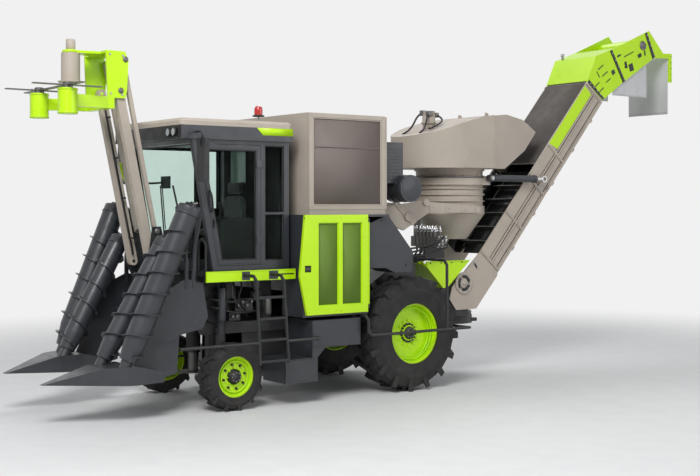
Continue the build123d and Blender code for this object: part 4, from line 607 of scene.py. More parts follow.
# roof: lime patches at the rear corners, lamp rims, beacon
for label, side in SIDES:
    prism(f"roof_flash_{label}", [(-2.357, 3.463), (-1.824, 3.463), (-1.824, 3.372), (-2.27, 3.372)],
          side * 0.899, side * 0.903, "chassis", LIME, 0.0)
for label, side in SIDES:
    for x in (0.62, 0.76):
        centre = at(side * x, -3.4505, 3.3825)
        lathe(f"work_lamp_{int(x * 100)}_{label}", ((0.054, 0.03), (0.054, -0.004), (0.048, -0.006),
                  (0.044, 0.0), (0.044, 0.03)), centre, (0, 1, 0), "chassis", TRIM, 40)
BEACON = 0.6, -2.15
knob("beacon_lens", ((0.054, 0), (0.054, 0.012), (0.054, 0.07), (0.052, 0.095), (0.042, 0.115),
         (0.024, 0.125)), 0.003, at(*BEACON, 3.639), UP, "chassis", RED, 40)
knob("beacon_base", ((0.07, -0.012), (0.078, -0.006), (0.078, 0.002), (0.06, 0.01)), 0.002,
     at(*BEACON, 3.638), UP, "chassis", TRIM, 40)

# -------- cab inside
ROUNDNESS = 5.0  # of a cushion's block: 2 is a ball, more is squarer


def cushion(name, centre, size, crown, channels, lean=0.0):
    """Upholstered pad: rounded block, crowned on its front face, pressed in along its sewn channels."""
    bm = bmesh.new()
    bmesh.ops.create_cube(bm, size=2)
    bmesh.ops.subdivide_edges(bm, edges=bm.edges, cuts=12, use_grid_fill=True)
    turn = Matrix.Rotation(lean, 3, "X")
    for vert in bm.verts:
        p = vert.co.copy()
        p *= sum(abs(c) ** ROUNDNESS for c in p) ** (-1 / ROUNDNESS)
        rise = crown * (1 - p.x ** 2) * (1 - p.y ** 2) * (1 if p.z > 0 else 0.2)
        sew = sum(0.012 * math.exp(-((getattr(p, axis) - place) / 0.05) ** 2) for axis, place in channels)
        p = Vector((p.x * size[0] / 2, p.y * size[1] / 2, p.z * size[2] / 2))
        p.z += (rise - sew) * (1 if p.z > 0 else -1)
        vert.co = Vector(centre) + turn @ p
    obj = keep(new_mesh(name, bm), "chassis", CLOTH)
    sub = obj.modifiers.new("soft", "SUBSURF")
    sub.levels = sub.render_levels = 1


SEAT_AFT, SEAT_Z = -2.33, 1.76
seat_base = boxes("seat_base", [(at(0, SEAT_AFT, SEAT_Z + 0.045), (0.32, 0.32, 0.09)),
            (at(0, SEAT_AFT, SEAT_Z + 0.2), (0.3, 0.3, 0.22)),
            (at(0, SEAT_AFT, SEAT_Z + 0.318), (0.44, 0.44, 0.024)),
            (at(0.175, SEAT_AFT - 0.1, SEAT_Z + 0.318), (0.06, 0.18, 0.03))], "chassis", TRIM, 0.008)
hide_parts("cab_seat")
cushion("seat_cushion", at(0, SEAT_AFT - 0.005, SEAT_Z + 0.388), (0.49, 0.49, 0.105), 0.018,
        (("x", -0.55), ("x", 0.55), ("y", -0.25)))
cushion("seat_back", at(0, SEAT_AFT + 0.192, SEAT_Z + 0.66), (0.46, 0.4, 0.09), 0.01,
        (("x", -0.6), ("x", 0.6), ("y", 0.1), ("y", -0.5)), lean=math.radians(90))
cushion("seat_headrest", at(0, SEAT_AFT + 0.195, SEAT_Z + 0.965), (0.28, 0.15, 0.085), 0.008, (("x", 0.0),),
        lean=math.radians(90))
for label, side in SIDES:
    boxes(f"armrest_{label}", [(at(side * 0.37, SEAT_AFT - 0.03, SEAT_Z + 0.572), (0.15, 0.42, 0.022)),
              (at(side * 0.37, SEAT_AFT - 0.215, SEAT_Z + 0.578), (0.12, 0.11, 0.03))], "chassis", TRIM,
          0.008)
    joint = at(side * 0.37, SEAT_AFT - 0.225, SEAT_Z + 0.59)
    knob(f"joystick_{label}", ((0.032, 0), (0.03, 0.012), (0.012, 0.03), (0.009, 0.1), (0.018, 0.116),
             (0.024, 0.15), (0.022, 0.185), (0.012, 0.2)), 0.003, joint, (0, -0.15, 1), "chassis", TRIM, 24)
    discs(f"console_keys_{label}", [(at(side * (0.335 + 0.035 * (k % 3)), SEAT_AFT - 0.14 + 0.05 * (k // 3),
                      SEAT_Z + 0.582), UP, 0.01, 0.008) for k in range(9)], "chassis", STEEL, 0.001, 12)
# steering wheel's rim and hub, and a monitor on its stem
lathe("steering_rim", [(0.178 + 0.014 * math.cos(a), 0.014 * math.sin(a))
          for a in (math.pi * k / 6 for k in range(12))], at(0, -2.8, 2.476), UP, "chassis", TRIM, 48)
discs("steering_hub", [(at(0, -2.8, 2.468), UP, 0.045, 0.022, 0.03)], "chassis", TRIM, 0.003)
boxes("monitor", [(at(-0.48, -2.9, 2.8), (0.23, 0.026, 0.16)),
          (at(-0.48, -2.8855, 2.802), (0.205, 0.006, 0.13))], "chassis", TRIM, 0.006)
tube("monitor_stem", [at(-0.56, -2.908, 2.8), at(-0.68, -2.925, 2.79), at(-0.79, -3.02, 2.79)], 0.014,
     "chassis", BLACK)
# dark linings: the rear wall with its small pane, the right rear window, the roof and the floor
boxes("rear_lining", [(at(0.075, -1.937, 2.52), (1.39, 0.006, 1.5))], "chassis", LINING)
boxes("rear_pane", [(at(-0.24, -1.942, 3.03), (0.39, 0.004, 0.45))], "chassis", PANE, 0.001)
boxes("rear_pane_rubber", [(at(x, -1.944, 3.03), (0.014, 0.006, 0.47)) for x in (-0.435, -0.045)] +
      [(at(-0.24, -1.944, z), (0.4, 0.006, 0.014)) for z in (2.8, 3.26)], "chassis", HOSE)
boxes("right_lining", [(at(-0.8, -2.068, 2.14), (0.006, 0.29, 0.64))], "chassis", LINING)
boxes("head_lining", [(at(0, -2.56, 3.285), (1.5, 1.1, 0.01))], "chassis", LINING)
boxes("cab_floor_mat", [(at(0, -2.42, 1.763), (1.56, 0.98, 0.006))], "chassis", LINING)

# mirrors: faces, rims and clamps
for label, side in SIDES:
    low, high = MIRROR_LOW, MIRROR_HIGH
    x, y = side * 1.08, MIRROR_AFT
    boxes(f"mirror_face_{label}", [(at(x, y + 0.0305, (low + high) / 2), (0.176, 0.004, high - low - 0.03))],
          "chassis", MIRROR)
    corners = [at(x + dx, y + 0.028, z) for dx, z in ((-0.085, low + 0.012), (0.085, low + 0.012),
                (0.085, high - 0.012), (-0.085, high - 0.012))]
    tube(f"mirror_rim_{label}", corners, 0.008, "chassis", TRIM, closed=True)
    tube(f"mirror_clamp_{label}", [at(x, y - 0.028, high - 0.1), at(x, y - 0.046, high - 0.06),
             at(x, y - 0.04, high + 0.02), at(x, y - 0.006, high + 0.03)], 0.01, "chassis", TRIM)

# -------- platform and under the cab
for count, (front, rear) in enumerate(((-2.604, -2.49), (-2.213, -2.08))):
    boxes(f"sill_patch_{count}", [(at(0.9515, (front + rear) / 2, 1.635), (0.005, rear - front, 0.112))],
          "chassis", SLATE, 0.001)
boxes("sill_slot", [(at(0.9515, -1.935, 1.64), (0.004, 0.19, 0.014))], "chassis", TRIM, 0.001)
frame_loop("sill_rim", [(-3.096, 1.574), (-1.819, 1.574), (-1.819, 1.696), (-3.096, 1.696)], 0.95, 0.008,
        0.005, "chassis", LIME)
boxes("deck_tread", [(at(side * 0.89, -2.45, 1.7015), (0.06, 1.24, 0.003)) for side in (1, -1)], "chassis",
      TRIM, 0.001)
boxes("cab_front_plate", [(at(0.15, -2.905, 1.6), (0.95, 0.008, 0.19))], "chassis", BLACK)


def hoses(name, body, *rows):
    """Several hoses; each row is the radius and the points."""
    for count, (radius, *points) in enumerate(rows):
        tube(f"{name}_{count}", [at(*p) for p in points], radius, body, HOSE)


hoses("cab_hose", "chassis",
      (0.016, (0.64, -2.7, 1.63), (0.72, -2.7, 1.52), (0.735, -2.72, 1.3), (0.69, -2.64, 1.17),
       (0.64, -2.52, 1.12)),
      (0.014, (0.64, -2.56, 1.63), (0.7, -2.56, 1.48), (0.76, -2.6, 1.33), (0.72, -2.52, 1.22),
       (0.62, -2.44, 1.2)),
      (0.013, (0.61, -2.44, 1.63), (0.69, -2.43, 1.5), (0.66, -2.5, 1.34), (0.74, -2.42, 1.2),
       (0.62, -2.33, 1.11)),
      (0.012, (0.62, -2.3, 1.63), (0.72, -2.31, 1.47), (0.7, -2.2, 1.38), (0.64, -2.16, 1.25),
       (0.61, -2.14, 1.05)),
      (0.016, (0.6, -2.9, 1.35), (0.74, -2.86, 1.34), (0.76, -2.64, 1.3), (0.7, -2.4, 1.32),
       (0.61, -2.18, 1.3)),
      (0.014, (0.6, -2.88, 1.25), (0.72, -2.84, 1.24), (0.78, -2.62, 1.17), (0.72, -2.38, 1.16),
       (0.61, -2.12, 1.18)),
      (0.011, (0.6, -2.96, 1.45), (0.68, -2.98, 1.3), (0.69, -2.96, 1.12), (0.64, -2.9, 1.06),
       (0.61, -2.8, 1.04)))
# valve block, filter, cylinder and leg collars under the cab
boxes("cab_valve_block", [(at(0.65, -2.42, 1.25), (0.09, 0.26, 0.17)),
          (at(0.645, -2.22, 1.36), (0.07, 0.11, 0.12)), (at(0.655, -2.56, 1.12), (0.1, 0.16, 0.11))],
      "chassis", BLACK, 0.006)
discs("cab_valve_ports", [(at(0.695, -2.52 + 0.065 * k, 1.25 + 0.045 * (k % 2)), OUTWARD, 0.019, 0.034)
          for k in range(4)] + [(at(0.705, -2.6 + 0.06 * k, 1.12), OUTWARD, 0.02, 0.03) for k in range(2)],
      "chassis", STEEL, 0.002, 6)
knob("oil_filter", ((0.045, 0), (0.052, 0.01), (0.052, 0.19), (0.046, 0.205), (0.03, 0.212), (0.03, 0.235)),
     0, at(0.67, -2.055, 1.12), UP, "chassis", STEEL, 36)
knob("leg_cylinder", ((0.044, 0), (0.048, 0.008), (0.048, 0.4), (0.042, 0.41), (0.026, 0.412), (0.026, 0.5)),
     0, at(0.735, -2.76, 1.08), UP, "chassis", SLATE, 36)
lathe("leg_collars", ((0.056, -0.03), (0.072, -0.03), (0.075, -0.024), (0.075, 0.024), (0.072, 0.03),
          (0.056, 0.03)), at(0.66, FRONT_AFT, 0.65), UP, "chassis", STEEL, 48)

# -------- extractor
EXTRACTOR_AFT, NECK_R, NECK_TOP = 1.585, 0.5, 3.04
HOOD_HALF, OUTLET_HALF = 0.645, 0.47
HOOD_ROUND, HOOD_TAPER = 1.29, 1.9  # distances aft: the round part's middle and the start of the taper
TAPER_LENGTH = 1.05
for count, (z, radius) in enumerate(((2.56, 0.508), (2.655, 0.506), (2.745, 0.51))):
    lathe(f"neck_flange_{count}", ((NECK_R - 0.004, -0.008), (radius + 0.016, -0.008),
              (radius + 0.02, -0.004), (radius + 0.02, 0.004), (radius + 0.016, 0.008),
              (NECK_R - 0.004, 0.008)), at(0, EXTRACTOR_AFT, z), UP, "chassis", BEIGE, 96)
bolts("neck_bolts", ring(at(0, EXTRACTOR_AFT, 2.664), UP, 0.517, 28), UP, 0.007, 0.008, "chassis")
lathe("ring_gear", ((0.541, -0.014), (0.552, -0.012), (0.552, 0.012), (0.541, 0.014)),
      at(0, EXTRACTOR_AFT, 2.915), UP, "slew", STEEL, 96)
bolts("slew_ring_bolts", ring(at(0, EXTRACTOR_AFT, 2.9305), UP, 0.522, 24), UP, 0.009, 0.01, "slew")
lathe("hood_skirt", ((0.528, 0.001), (0.54, 0.001), (0.544, 0.006), (0.544, 0.016), (0.538, 0.02),
          (0.528, 0.02)), at(0, EXTRACTOR_AFT, NECK_TOP), UP, "extractor_hood", BEIGE, 96)


def hood_top(aft):
    """Height of the hood's top edge."""
    points = ((0.645, 3.49), (0.9, 3.56), (1.25, 3.68), (1.7, 3.8), (2.2, 3.85), (2.6, 3.79), (2.93, 3.62))
    for (y0, z0), (y1, z1) in zip(points, points[1:]):
        if aft <= y1:
            return z0 + (z1 - z0) * (aft - y0) / (y1 - y0)
    return points[-1][1]


def hood_half(aft):
    """Half width of the hood in plan."""
    if aft < HOOD_ROUND:
        return math.sqrt(max(HOOD_HALF ** 2 - (aft - HOOD_ROUND) ** 2, 0))
    if aft < HOOD_TAPER:
        return HOOD_HALF
    return HOOD_HALF + (OUTLET_HALF - HOOD_HALF) * (aft - HOOD_TAPER) / TAPER_LENGTH


# raised seam over the hood, lifting lugs, and the motor with its ports and hoses
SEAM, SEAM_LOW = HOOD_TAPER, 3.045
for label, side in SIDES:
    boxes(f"hood_seam_{label}",
          [(at(side * (hood_half(SEAM) + 0.0015), SEAM, (SEAM_LOW + hood_top(SEAM)) / 2),
            (0.006, 0.02, hood_top(SEAM) - SEAM_LOW))], "extractor_hood", BEIGE, 0.001)
boxes("hood_seam_top", [(at(0, SEAM, hood_top(SEAM) + 0.001), (2 * hood_half(SEAM), 0.02, 0.008))],
      "extractor_hood", BEIGE, 0.001)
for count, (x, y) in enumerate(((0.3, 2.066), (-0.3, 2.066), (0.25, 2.86), (-0.25, 2.86))):
    z = hood_top(y)
    prism(f"hood_lug_{count}", [(y - 0.04, z - 0.01), (y + 0.04, z - 0.03 if y > 2.5 else z - 0.01),
              (y + 0.03, z + 0.045), (y - 0.025, z + 0.055)], x - 0.008, x + 0.008, "extractor_hood", BEIGE)
knob("hood_motor", ((0.112, 0), (0.112, 0.02), (0.098, 0.03), (0.092, 0.15), (0.07, 0.165), (0.066, 0.19)),
     0.001, at(0, 1.185, 3.7), UP, "extractor_hood", BEIGE, 40)
boxes("hood_ports", [(at(0.075, 1.13, 3.85), (0.07, 0.09, 0.07)),
          (at(-0.06, 1.12, 3.862), (0.06, 0.08, 0.08)), (at(0.01, 1.3, 3.835), (0.11, 0.06, 0.07))],
      "extractor_hood", STEEL, 0.006)
hoses("hood_hose", "extractor_hood",
      (0.014, (0.085, 1.11, 3.85), (0.12, 1.06, 3.82), (0.15, 1.0, 3.68), (0.18, 0.95, 3.62),
       (0.2, 0.9, 3.585), (0.21, 0.83, 3.545)),
      (0.014, (-0.07, 1.1, 3.86), (-0.1, 1.05, 3.82), (-0.13, 0.99, 3.68), (-0.15, 0.94, 3.615),
       (-0.16, 0.89, 3.58), (-0.16, 0.82, 3.545)),
      (0.014, (0.05, 1.31, 3.83), (0.14, 1.32, 3.79), (0.2, 1.27, 3.73), (0.24, 1.18, 3.69),
       (0.26, 1.09, 3.655), (0.28, 0.96, 3.61)))
# folded plate over the side, towards the outlet
for label, side in SIDES:
    x = side * (HOOD_HALF + 0.0015)
    prism(f"hood_fold_{label}", [(1.306, 3.046), (1.461, 3.302), (1.87, 3.302), (1.895, 3.046)], x - 0.002,
          x + 0.003, "extractor_hood", BEIGE, 0.001)

# straps, bolts and gussets of the arms that carry the extractor
for label, side in SIDES:
    x, out = side * 0.5715, (side, 0, 0)
    prism(f"arm_strap_{label}", [(0.04, 2.548), (0.15, 2.548), (0.47, 2.262), (0.395, 2.215)],
          x - side * 0.002, x + side * 0.012, "chassis", BEIGE)
    for count, (y, z) in enumerate(((0.1, 2.53), (0.43, 2.19), (0.8, 2.48), (1.1, 2.455), (1.4, 2.43),
            (1.6, 2.43))):
        bolts(f"arm_bolt_{label}_{count}", [at(x + side * (0.012 if count < 2 else -0.002), y, z)], out,
              0.012, 0.012, "chassis")
    for count, y in enumerate((0.72, 1.02, 1.32)):
        prism(f"arm_gusset_{label}_{count}", [(y, 2.402), (y + 0.08, 2.402), (y + 0.01, 2.49), (y, 2.49)],
              x - side * 0.002, x + side * 0.006, "chassis", BEIGE)

# -------- air cleaner
lathe("air_cap", ((ON_AXIS, 0), (0.15, 0.0), (0.172, -0.006), (0.18, -0.02), (0.187, -0.022), (0.187, -0.04),
          (0.18, -0.042)), at(0.884, 0.13, 2.73), OUTWARD, "chassis", SLATE)
for count, x in enumerate((0.6, 0.74)):
    lathe(f"air_band_{count}", ((0.184, -0.012), (0.19, -0.012), (0.19, 0.012), (0.184, 0.012)),
          at(x, 0.13, 2.73), OUTWARD, "chassis", BLACK)
boxes("air_intake_louvres", [(at(0.752, -0.06, 2.86 + 0.045 * k), (0.01, 0.27, 0.014)) for k in range(10)] +
      [(at(0.62, 0.092, 2.9 + 0.045 * k), (0.23, 0.008, 0.014)) for k in range(9)], "chassis", SLATE)

# -------- valve bank and its hoses
SECTIONS = [0.2 + 0.08 * (k - 2.5) for k in range(6)]
SPOOLS = [(x, y) for x in SECTIONS for y in (0.96, 1.06)]
bolts("spool_nuts", [at(x, y, 2.12) for x, y in SPOOLS], UP, 0.024, 0.02, "chassis", CHROME)
for count, (x, y) in enumerate(SPOOLS):
    knob(f"spool_cap_{count}", ((0.02, 0), (0.02, 0.028), (0.014, 0.034), (0.014, 0.062), (0.008, 0.068)), 0,
         at(x, y, 2.138), UP, "chassis", CHROME, 20)
boxes("valve_sections", [(at(x, y, 1.975), (0.066, 0.012, 0.128)) for y in (0.9085, 1.1115)
          for x in SECTIONS] + [(at(0.4865, 1.01, 1.975), (0.014, 0.17, 0.13))], "chassis", STEEL, 0.004)
discs("valve_ports", [(at(0.493, 0.945 + 0.065 * k, 1.935 + 0.055 * j), OUTWARD, 0.019, 0.026)
          for k in range(3) for j in range(3)], "chassis", ZINC, 0.002, 6)
for k, x in enumerate(SECTIONS):
    spread = 0.03 * (k - 2.5)
    fan = x + spread
    hoses(f"bank_hose_{k}", "chassis",
          (0.013, (x, 0.96, 1.85), (x, 0.958, 1.79), (fan, 0.9, 1.74), (fan, 0.7, 1.72), (fan, 0.54, 1.7)),
          (0.012, (x, 1.06, 1.85), (x, 1.062, 1.8), (fan, 1.02, 1.765), (fan, 0.82, 1.76),
           (x + spread * 1.2, 0.54, 1.75)))
hoses("bank_feed", "chassis",
      (0.015, (0.512, 0.945, 1.99), (0.56, 0.935, 1.985), (0.6, 0.86, 1.96), (0.61, 0.7, 1.9),
       (0.6, 0.5, 1.86), (0.598, 0.33, 1.84)),
      (0.015, (0.512, 1.01, 2.045), (0.565, 1.0, 2.04), (0.64, 0.9, 2.02), (0.66, 0.7, 1.96),
       (0.64, 0.42, 1.9), (0.63, 0.1, 1.88)),
      (0.013, (0.512, 1.075, 1.935), (0.57, 1.07, 1.93), (0.62, 0.98, 1.88), (0.64, 0.76, 1.82),
       (0.62, 0.48, 1.79), (0.612, 0.28, 1.78)))

# -------- tanks, steps and frame fittings
TANK_SIDE = 1.13
frame_loop("tank_rim", [(-1.672, 0.708), (-0.933, 0.708), (-0.933, 1.037), (-1.672, 1.037)],
        TANK_SIDE - 0.002, 0.012, 0.006, "chassis", SLATE)
boxes("tank_lid_seam", [(at(TANK_SIDE + 0.0005, -1.84, 0.566), (0.004, 0.44, 0.012))], "chassis", BLACK,
      0.001)
for label, side in SIDES:
    out = (side, 0, 0)
    bolts(f"tank_bolts_{label}", [at(side * 1.0, y, z)
              for y, z in ((-0.7, 2.2), (-0.48, 2.3), (-0.7, 1.74), (-0.06, 1.7))], out, 0.012, 0.008,
          "chassis", BLACK)
    bolts(f"frame_bolts_{label}", [at(side * 0.6, y, 0.97 + dz) for y in (-1.4, -0.9, -0.3, 0.2, 0.6)
              for dz in (-0.03, 0.03)], out, 0.012, 0.01, "chassis")
boxes("step_treads", [(at(1.21, -2.5 + 0.03 * j, z + 0.0155), (0.04, 0.006, 0.004))
          for z in (0.6, 0.86, 1.12, 1.38) for j in range(11)], "chassis", BLACK, 0.0008)
boxes("valve_cover", [(at(0.495, 0.87, 1.82), (0.03, 0.36, 0.15))], "chassis", TRIM, 0.006)

# -------- elevator
for label, side in SIDES:
    x, out = side * BOOM_SIDE, (side, 0, 0)
    # lime panel over the upper part of the side plate
    prism(f"boom_panel_{label}", [boom_place(up, depth)
              for up, depth in ((2.19, 0.012), (3.43, 0.012), (3.43, 0.205), (2.25, 0.205))], x,
          x + side * 0.004, "elevator", LIME, 0.001)
    # flange with bolts where the boom meets its foot
    for row, up in enumerate((0.018, 0.798, 1.498)):
        bolts(f"boom_flange_{label}_{row}",
              [on_boom(x + side * 0.02, up, 0.035 + 0.37 * k / 7) for k in range(8)], out, 0.01, 0.009,
              "elevator")
    # lower chain guard along the bottom edge, in two lengths
    for count, (low, high) in enumerate(((0.33, 1.35), (1.62, 2.95))):
        guard = [boom_place(up, depth) for up, depth in ((low, 0.43), (high, 0.43), (high + 0.03, 0.468),
                    (low - 0.03, 0.468))]
        prism(f"chain_guard_{label}_{count}", guard, x + side * 0.012, x + side * 0.018, "elevator", BEIGE,
              0.001)
    bolts(f"guard_bolts_{label}", [on_boom(x + side * 0.016, 0.45 + 0.24 * k, 0.452) for k in range(11)],
          out, 0.007, 0.007, "elevator")
    # foot: cover rim, adjuster slot and bolts
    foot = at(x, *FOOT)
    lathe(f"foot_rim_{label}", ((0.15, 0.0), (0.158, 0.0), (0.158, 0.019), (0.152, 0.022), (0.146, 0.019)),
          foot, out, "elevator", BEIGE)
    knob(f"foot_boss_{label}", ((0.04, 0), (0.04, 0.026), (0.034, 0.032)), 0.001, foot, out, "elevator",
         BEIGE, 32)
    prism(f"foot_slot_{label}", [(1.655, 1.66), (1.69, 1.665), (1.755, 1.575), (1.72, 1.565)],
          x - side * 0.002, x + side * 0.004, "elevator", BLACK, 0.001)
    bolts(f"foot_slot_bolts_{label}",
          [at(x + side * 0.004, 1.672, 1.655), at(x + side * 0.004, 1.738, 1.577)], out, 0.012, 0.01,
          "elevator")
    bolts(f"foot_bolts_{label}", ring(foot + Vector((side * 0.018, 0, 0)), out, 0.125, 9, 0.3), out, 0.008,
          0.008, "elevator")
    # head: dark straps with their bolts
    for count, corners in enumerate((((4.64, 5.0), (4.69, 5.022), (5.005, 4.53), (4.955, 4.505)),
                                     ((5.5, 5.36), (5.55, 5.382), (5.752, 4.985), (5.7, 4.945)),
                                     ((4.112, 4.462), (4.15, 4.5), (4.5, 4.222), (4.47, 4.205)))):
        prism(f"head_strap_{label}_{count}", corners, x - side * 0.002, x + side * 0.008, "elevator", BLACK,
              0.001)
        (y0, z0), _, (y1, z1), _ = corners
        bolts(f"strap_bolts_{label}_{count}",
              [at(x + side * 0.009, y0 + 0.03 + (y1 - y0 - 0.03) * t, z0 + (z1 - z0) * t)
               for t in (0.08, 0.3, 0.52, 0.74, 0.94)], out, 0.01, 0.008, "elevator")
    # dark grooves between the rails, and slots round the foot's cover
    for count, (low, high, near, far) in enumerate(((0.04, 2.13, 0.237, 0.253), (2.17, 3.45, 0.237, 0.253),
            (0.04, 1.47, 0.395, 0.407), (1.5, 3.45, 0.395, 0.407), (0.04, 3.45, 0.2, 0.206))):
        prism(f"boom_groove_{label}_{count}", [boom_place(up, depth)
                  for up, depth in ((low, near), (high, near), (high, far), (low, far))], x - side * 0.002,
              x + side * 0.0025, "elevator", BLACK, 0.0)
    for count in range(3):
        arc = [(math.radians(120 * count + 12 + 8 * k), r)
               for r, ks in ((0.118, range(12)), (0.07, range(11, -1, -1))) for k in ks]
        prism(f"foot_slots_{label}_{count}",
              [(FOOT[0] + r * math.cos(a), FOOT[1] + r * math.sin(a)) for a, r in arc], x + side * 0.014,
              x + side * 0.0205, "elevator", BLACK, 0.0)
    for count, up in enumerate((0.42, 1.1, 1.72, 2.42, 3.05)):
        prism(f"guard_lug_{label}_{count}", [boom_place(u, d)
                  for u, d in ((up, 0.44), (up + 0.09, 0.44), (up + 0.075, 0.492), (up + 0.015, 0.492))],
              x - side * 0.03, x + side * 0.014, "elevator", BEIGE, 0.002)
    # head: dark patches and ribs
    for count, (y, z, across, high, lean) in enumerate(((5.03, 4.8, 0.05, 0.11, 0.35),
            (5.16, 4.77, 0.1, 0.12, 0.35), (5.37, 4.98, 0.09, 0.06, 0.5), (5.5, 5.03, 0.03, 0.08, 0.2),
            (4.72, 4.66, 0.075, 0.07, 0.55), (4.86, 4.94, 0.09, 0.03, 0.45))):
        boxes(f"head_patch_{label}_{count}", [(at(x + side * 0.003, y, z), (0.008, across, high),
                      Matrix.Rotation(lean, 3, "X"))], "elevator", BLACK)
    for count, (y, z, length, turn) in enumerate(((4.42, 4.72, 0.15, 0.6), (4.52, 4.62, 0.15, 0.6),
            (4.36, 4.6, 0.11, 2.2), (4.6, 4.52, 0.13, 0.6), (5.1, 4.98, 0.26, 0.42), (5.02, 4.8, 0.1, 1.2),
            (4.34, 4.44, 0.12, 0.66), (4.44, 4.36, 0.12, 0.66))):
        boxes(f"head_rib_{label}_{count}", [(at(x + side * 0.003, y, z), (0.008, length, 0.014),
                      Matrix.Rotation(turn, 3, "X"))], "elevator", BLACK)
    knob(f"head_bearing_{label}", ((0.075, 0), (0.078, 0.006), (0.07, 0.014), (0.045, 0.018), (0.04, 0.034)),
         0.001, at(x, 5.45, 5.15), out, "elevator", STEEL, 40)
    bolts(f"head_bearing_bolts_{label}", ring(at(x + side * 0.014, 5.45, 5.15), out, 0.06, 4, 0.4), out,
          0.009, 0.009, "elevator")
    # post at the rear of the head, with its bolts
    boxes(f"head_post_{label}", [(at(side * 0.4375, 6.165, 4.822), (0.032, 0.07, 0.48))], "elevator", LIME,
          0.004)
    bolts(f"head_post_bolts_{label}", [at(side * 0.4535, 6.165, 4.62 + 0.1 * k) for k in range(5)], out,
          0.006, 0.005, "elevator", BLACK)
    # lift cylinder: gland, ports and pin
    lathe(f"lift_gland_{label}", ((0.028, -0.02), (0.056, -0.02), (0.059, -0.014), (0.059, 0.03),
              (0.05, 0.042), (0.0285, 0.042)), at(side * 0.56, 2.8, 2.9), (0, 1, 0), "lift_barrels", SLATE,
          40)
    discs(f"lift_ports_{label}", [(at(side * 0.56, y, 2.948), UP, 0.016, 0.026) for y in (2.02, 2.72)],
          "lift_barrels", STEEL, 0.002, 6)
    bolts(f"lift_pin_{label}", [at(side * 0.62, 1.9, 2.9)], out, 0.024, 0.012, "slew")
# black sheets on the trough's floor and inner walls behind the slats: painted shade inside the open trough
boxes("trough_painted_shade", [along_boom(x, 1.08, 0.2477, (span, 1.84, 0.0035))
          for x, span in ((0, 0.53), (0.3665, 0.122), (-0.3665, 0.122))] +
      [along_boom(side * 0.4275, 0.93, 0.132, (0.004, 1.54, 0.222)) for side in (1, -1)], "elevator", BLACK,
      0.0)
# grey-brown cover over the boom's upper part: seams, lip and face
boxes("cover_seams", [along_boom(0, up, 0.0035, (0.84, 0.022, 0.005)) for up in (1.775, 2.64, 3.48)],
      "elevator", BROWN, 0.001)
boxes("cover_lip", [along_boom(0, 3.535, 0.0165, (0.858, 0.13, 0.004))], "elevator", BROWN, 0.001)
boxes("cover_face", [along_boom(0, 2.63, 0.0028, (0.858, 1.73, 0.0024))], "elevator", BROWN, 0.0)
# small lamp on the head
knob("head_light", ((0.02, 0), (0.02, 0.05), (0.03, 0.056), (0.03, 0.092), (0.022, 0.104)), 0.002,
     at(-0.3, 4.335, 4.903), UP, "elevator", LENS, 24)


def hanging(name, corner, across, drop, flare):
    """Rubber curtain of one sheet: hung along its top edge, with shallow folds that deepen downwards."""
    columns, rows = 36, 16
    across, drop = Vector(across), Vector(drop)
    normal = across.cross(drop).normalized()
    bm = bmesh.new()
    grid = []
    for r in range(rows + 1):
        t = r / rows
        line = []
        for c in range(columns + 1):
            s = c / columns
            wave = flare * t ** 1.3 * (math.sin(s * math.pi * 5 + 0.6) +
                    0.35 * math.sin(s * math.pi * 11 + 1.1))
            line.append(bm.verts.new(Vector(corner) + across * s + drop * t + normal * wave))
        grid.append(line)
    for a, b in zip(grid, grid[1:]):
        for i in range(columns):
            bm.faces.new((a[i], a[i + 1], b[i + 1], b[i]))
    obj = keep(new_mesh(name, bm), "elevator", FLAP)
    solid = obj.modifiers.new("thick", "SOLIDIFY")
    solid.thickness, solid.offset = 0.006, 0.0
    return obj


rear_flap = hanging("curtain_rear", at(-0.425, 6.126, 5.03), (0.85, 0, 0), (0, 0, -0.985), 0.006)
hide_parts("elevator_curtain")
for label, side in SIDES:
    hanging(f"curtain_{label}", at(side * 0.421, CURTAIN_FRONT, CURTAIN_TOP), (0, CURTAIN_LENGTH, 0),
            (0, 0, CURTAIN_LOW - CURTAIN_TOP), 0.004)
boxes("curtain_clamp", [(at(0, 6.132, 5.012), (0.84, 0.01, 0.036))], "elevator", BLACK)
bolts("curtain_clamp_bolts", [at(-0.38 + 0.095 * k, 6.1265, 5.012) for k in range(9)], (0, -1, 0), 0.009,
      0.008, "elevator")

# bowl: folded edges and bolts
for label, side in SIDES:
    out = (side, 0, 0)
    bolts(f"bowl_bolts_{label}", [at(side * 0.495, y, 1.672) for y in (0.8, 1.0, 1.2, 1.4)], out, 0.009,
          0.008, "slew", BLACK)
    prism(f"bowl_lip_{label}", [(0.7, 1.686), (1.5, 1.686), (1.5, 1.7), (0.7, 1.7)], side * 0.49,
          side * 0.507, "slew", LIME, 0.002)
bolts("slew_table_bolts", ring(at(0, EXTRACTOR_AFT, 0.93), UP, 0.29, 20), UP, 0.012, 0.012, "slew")

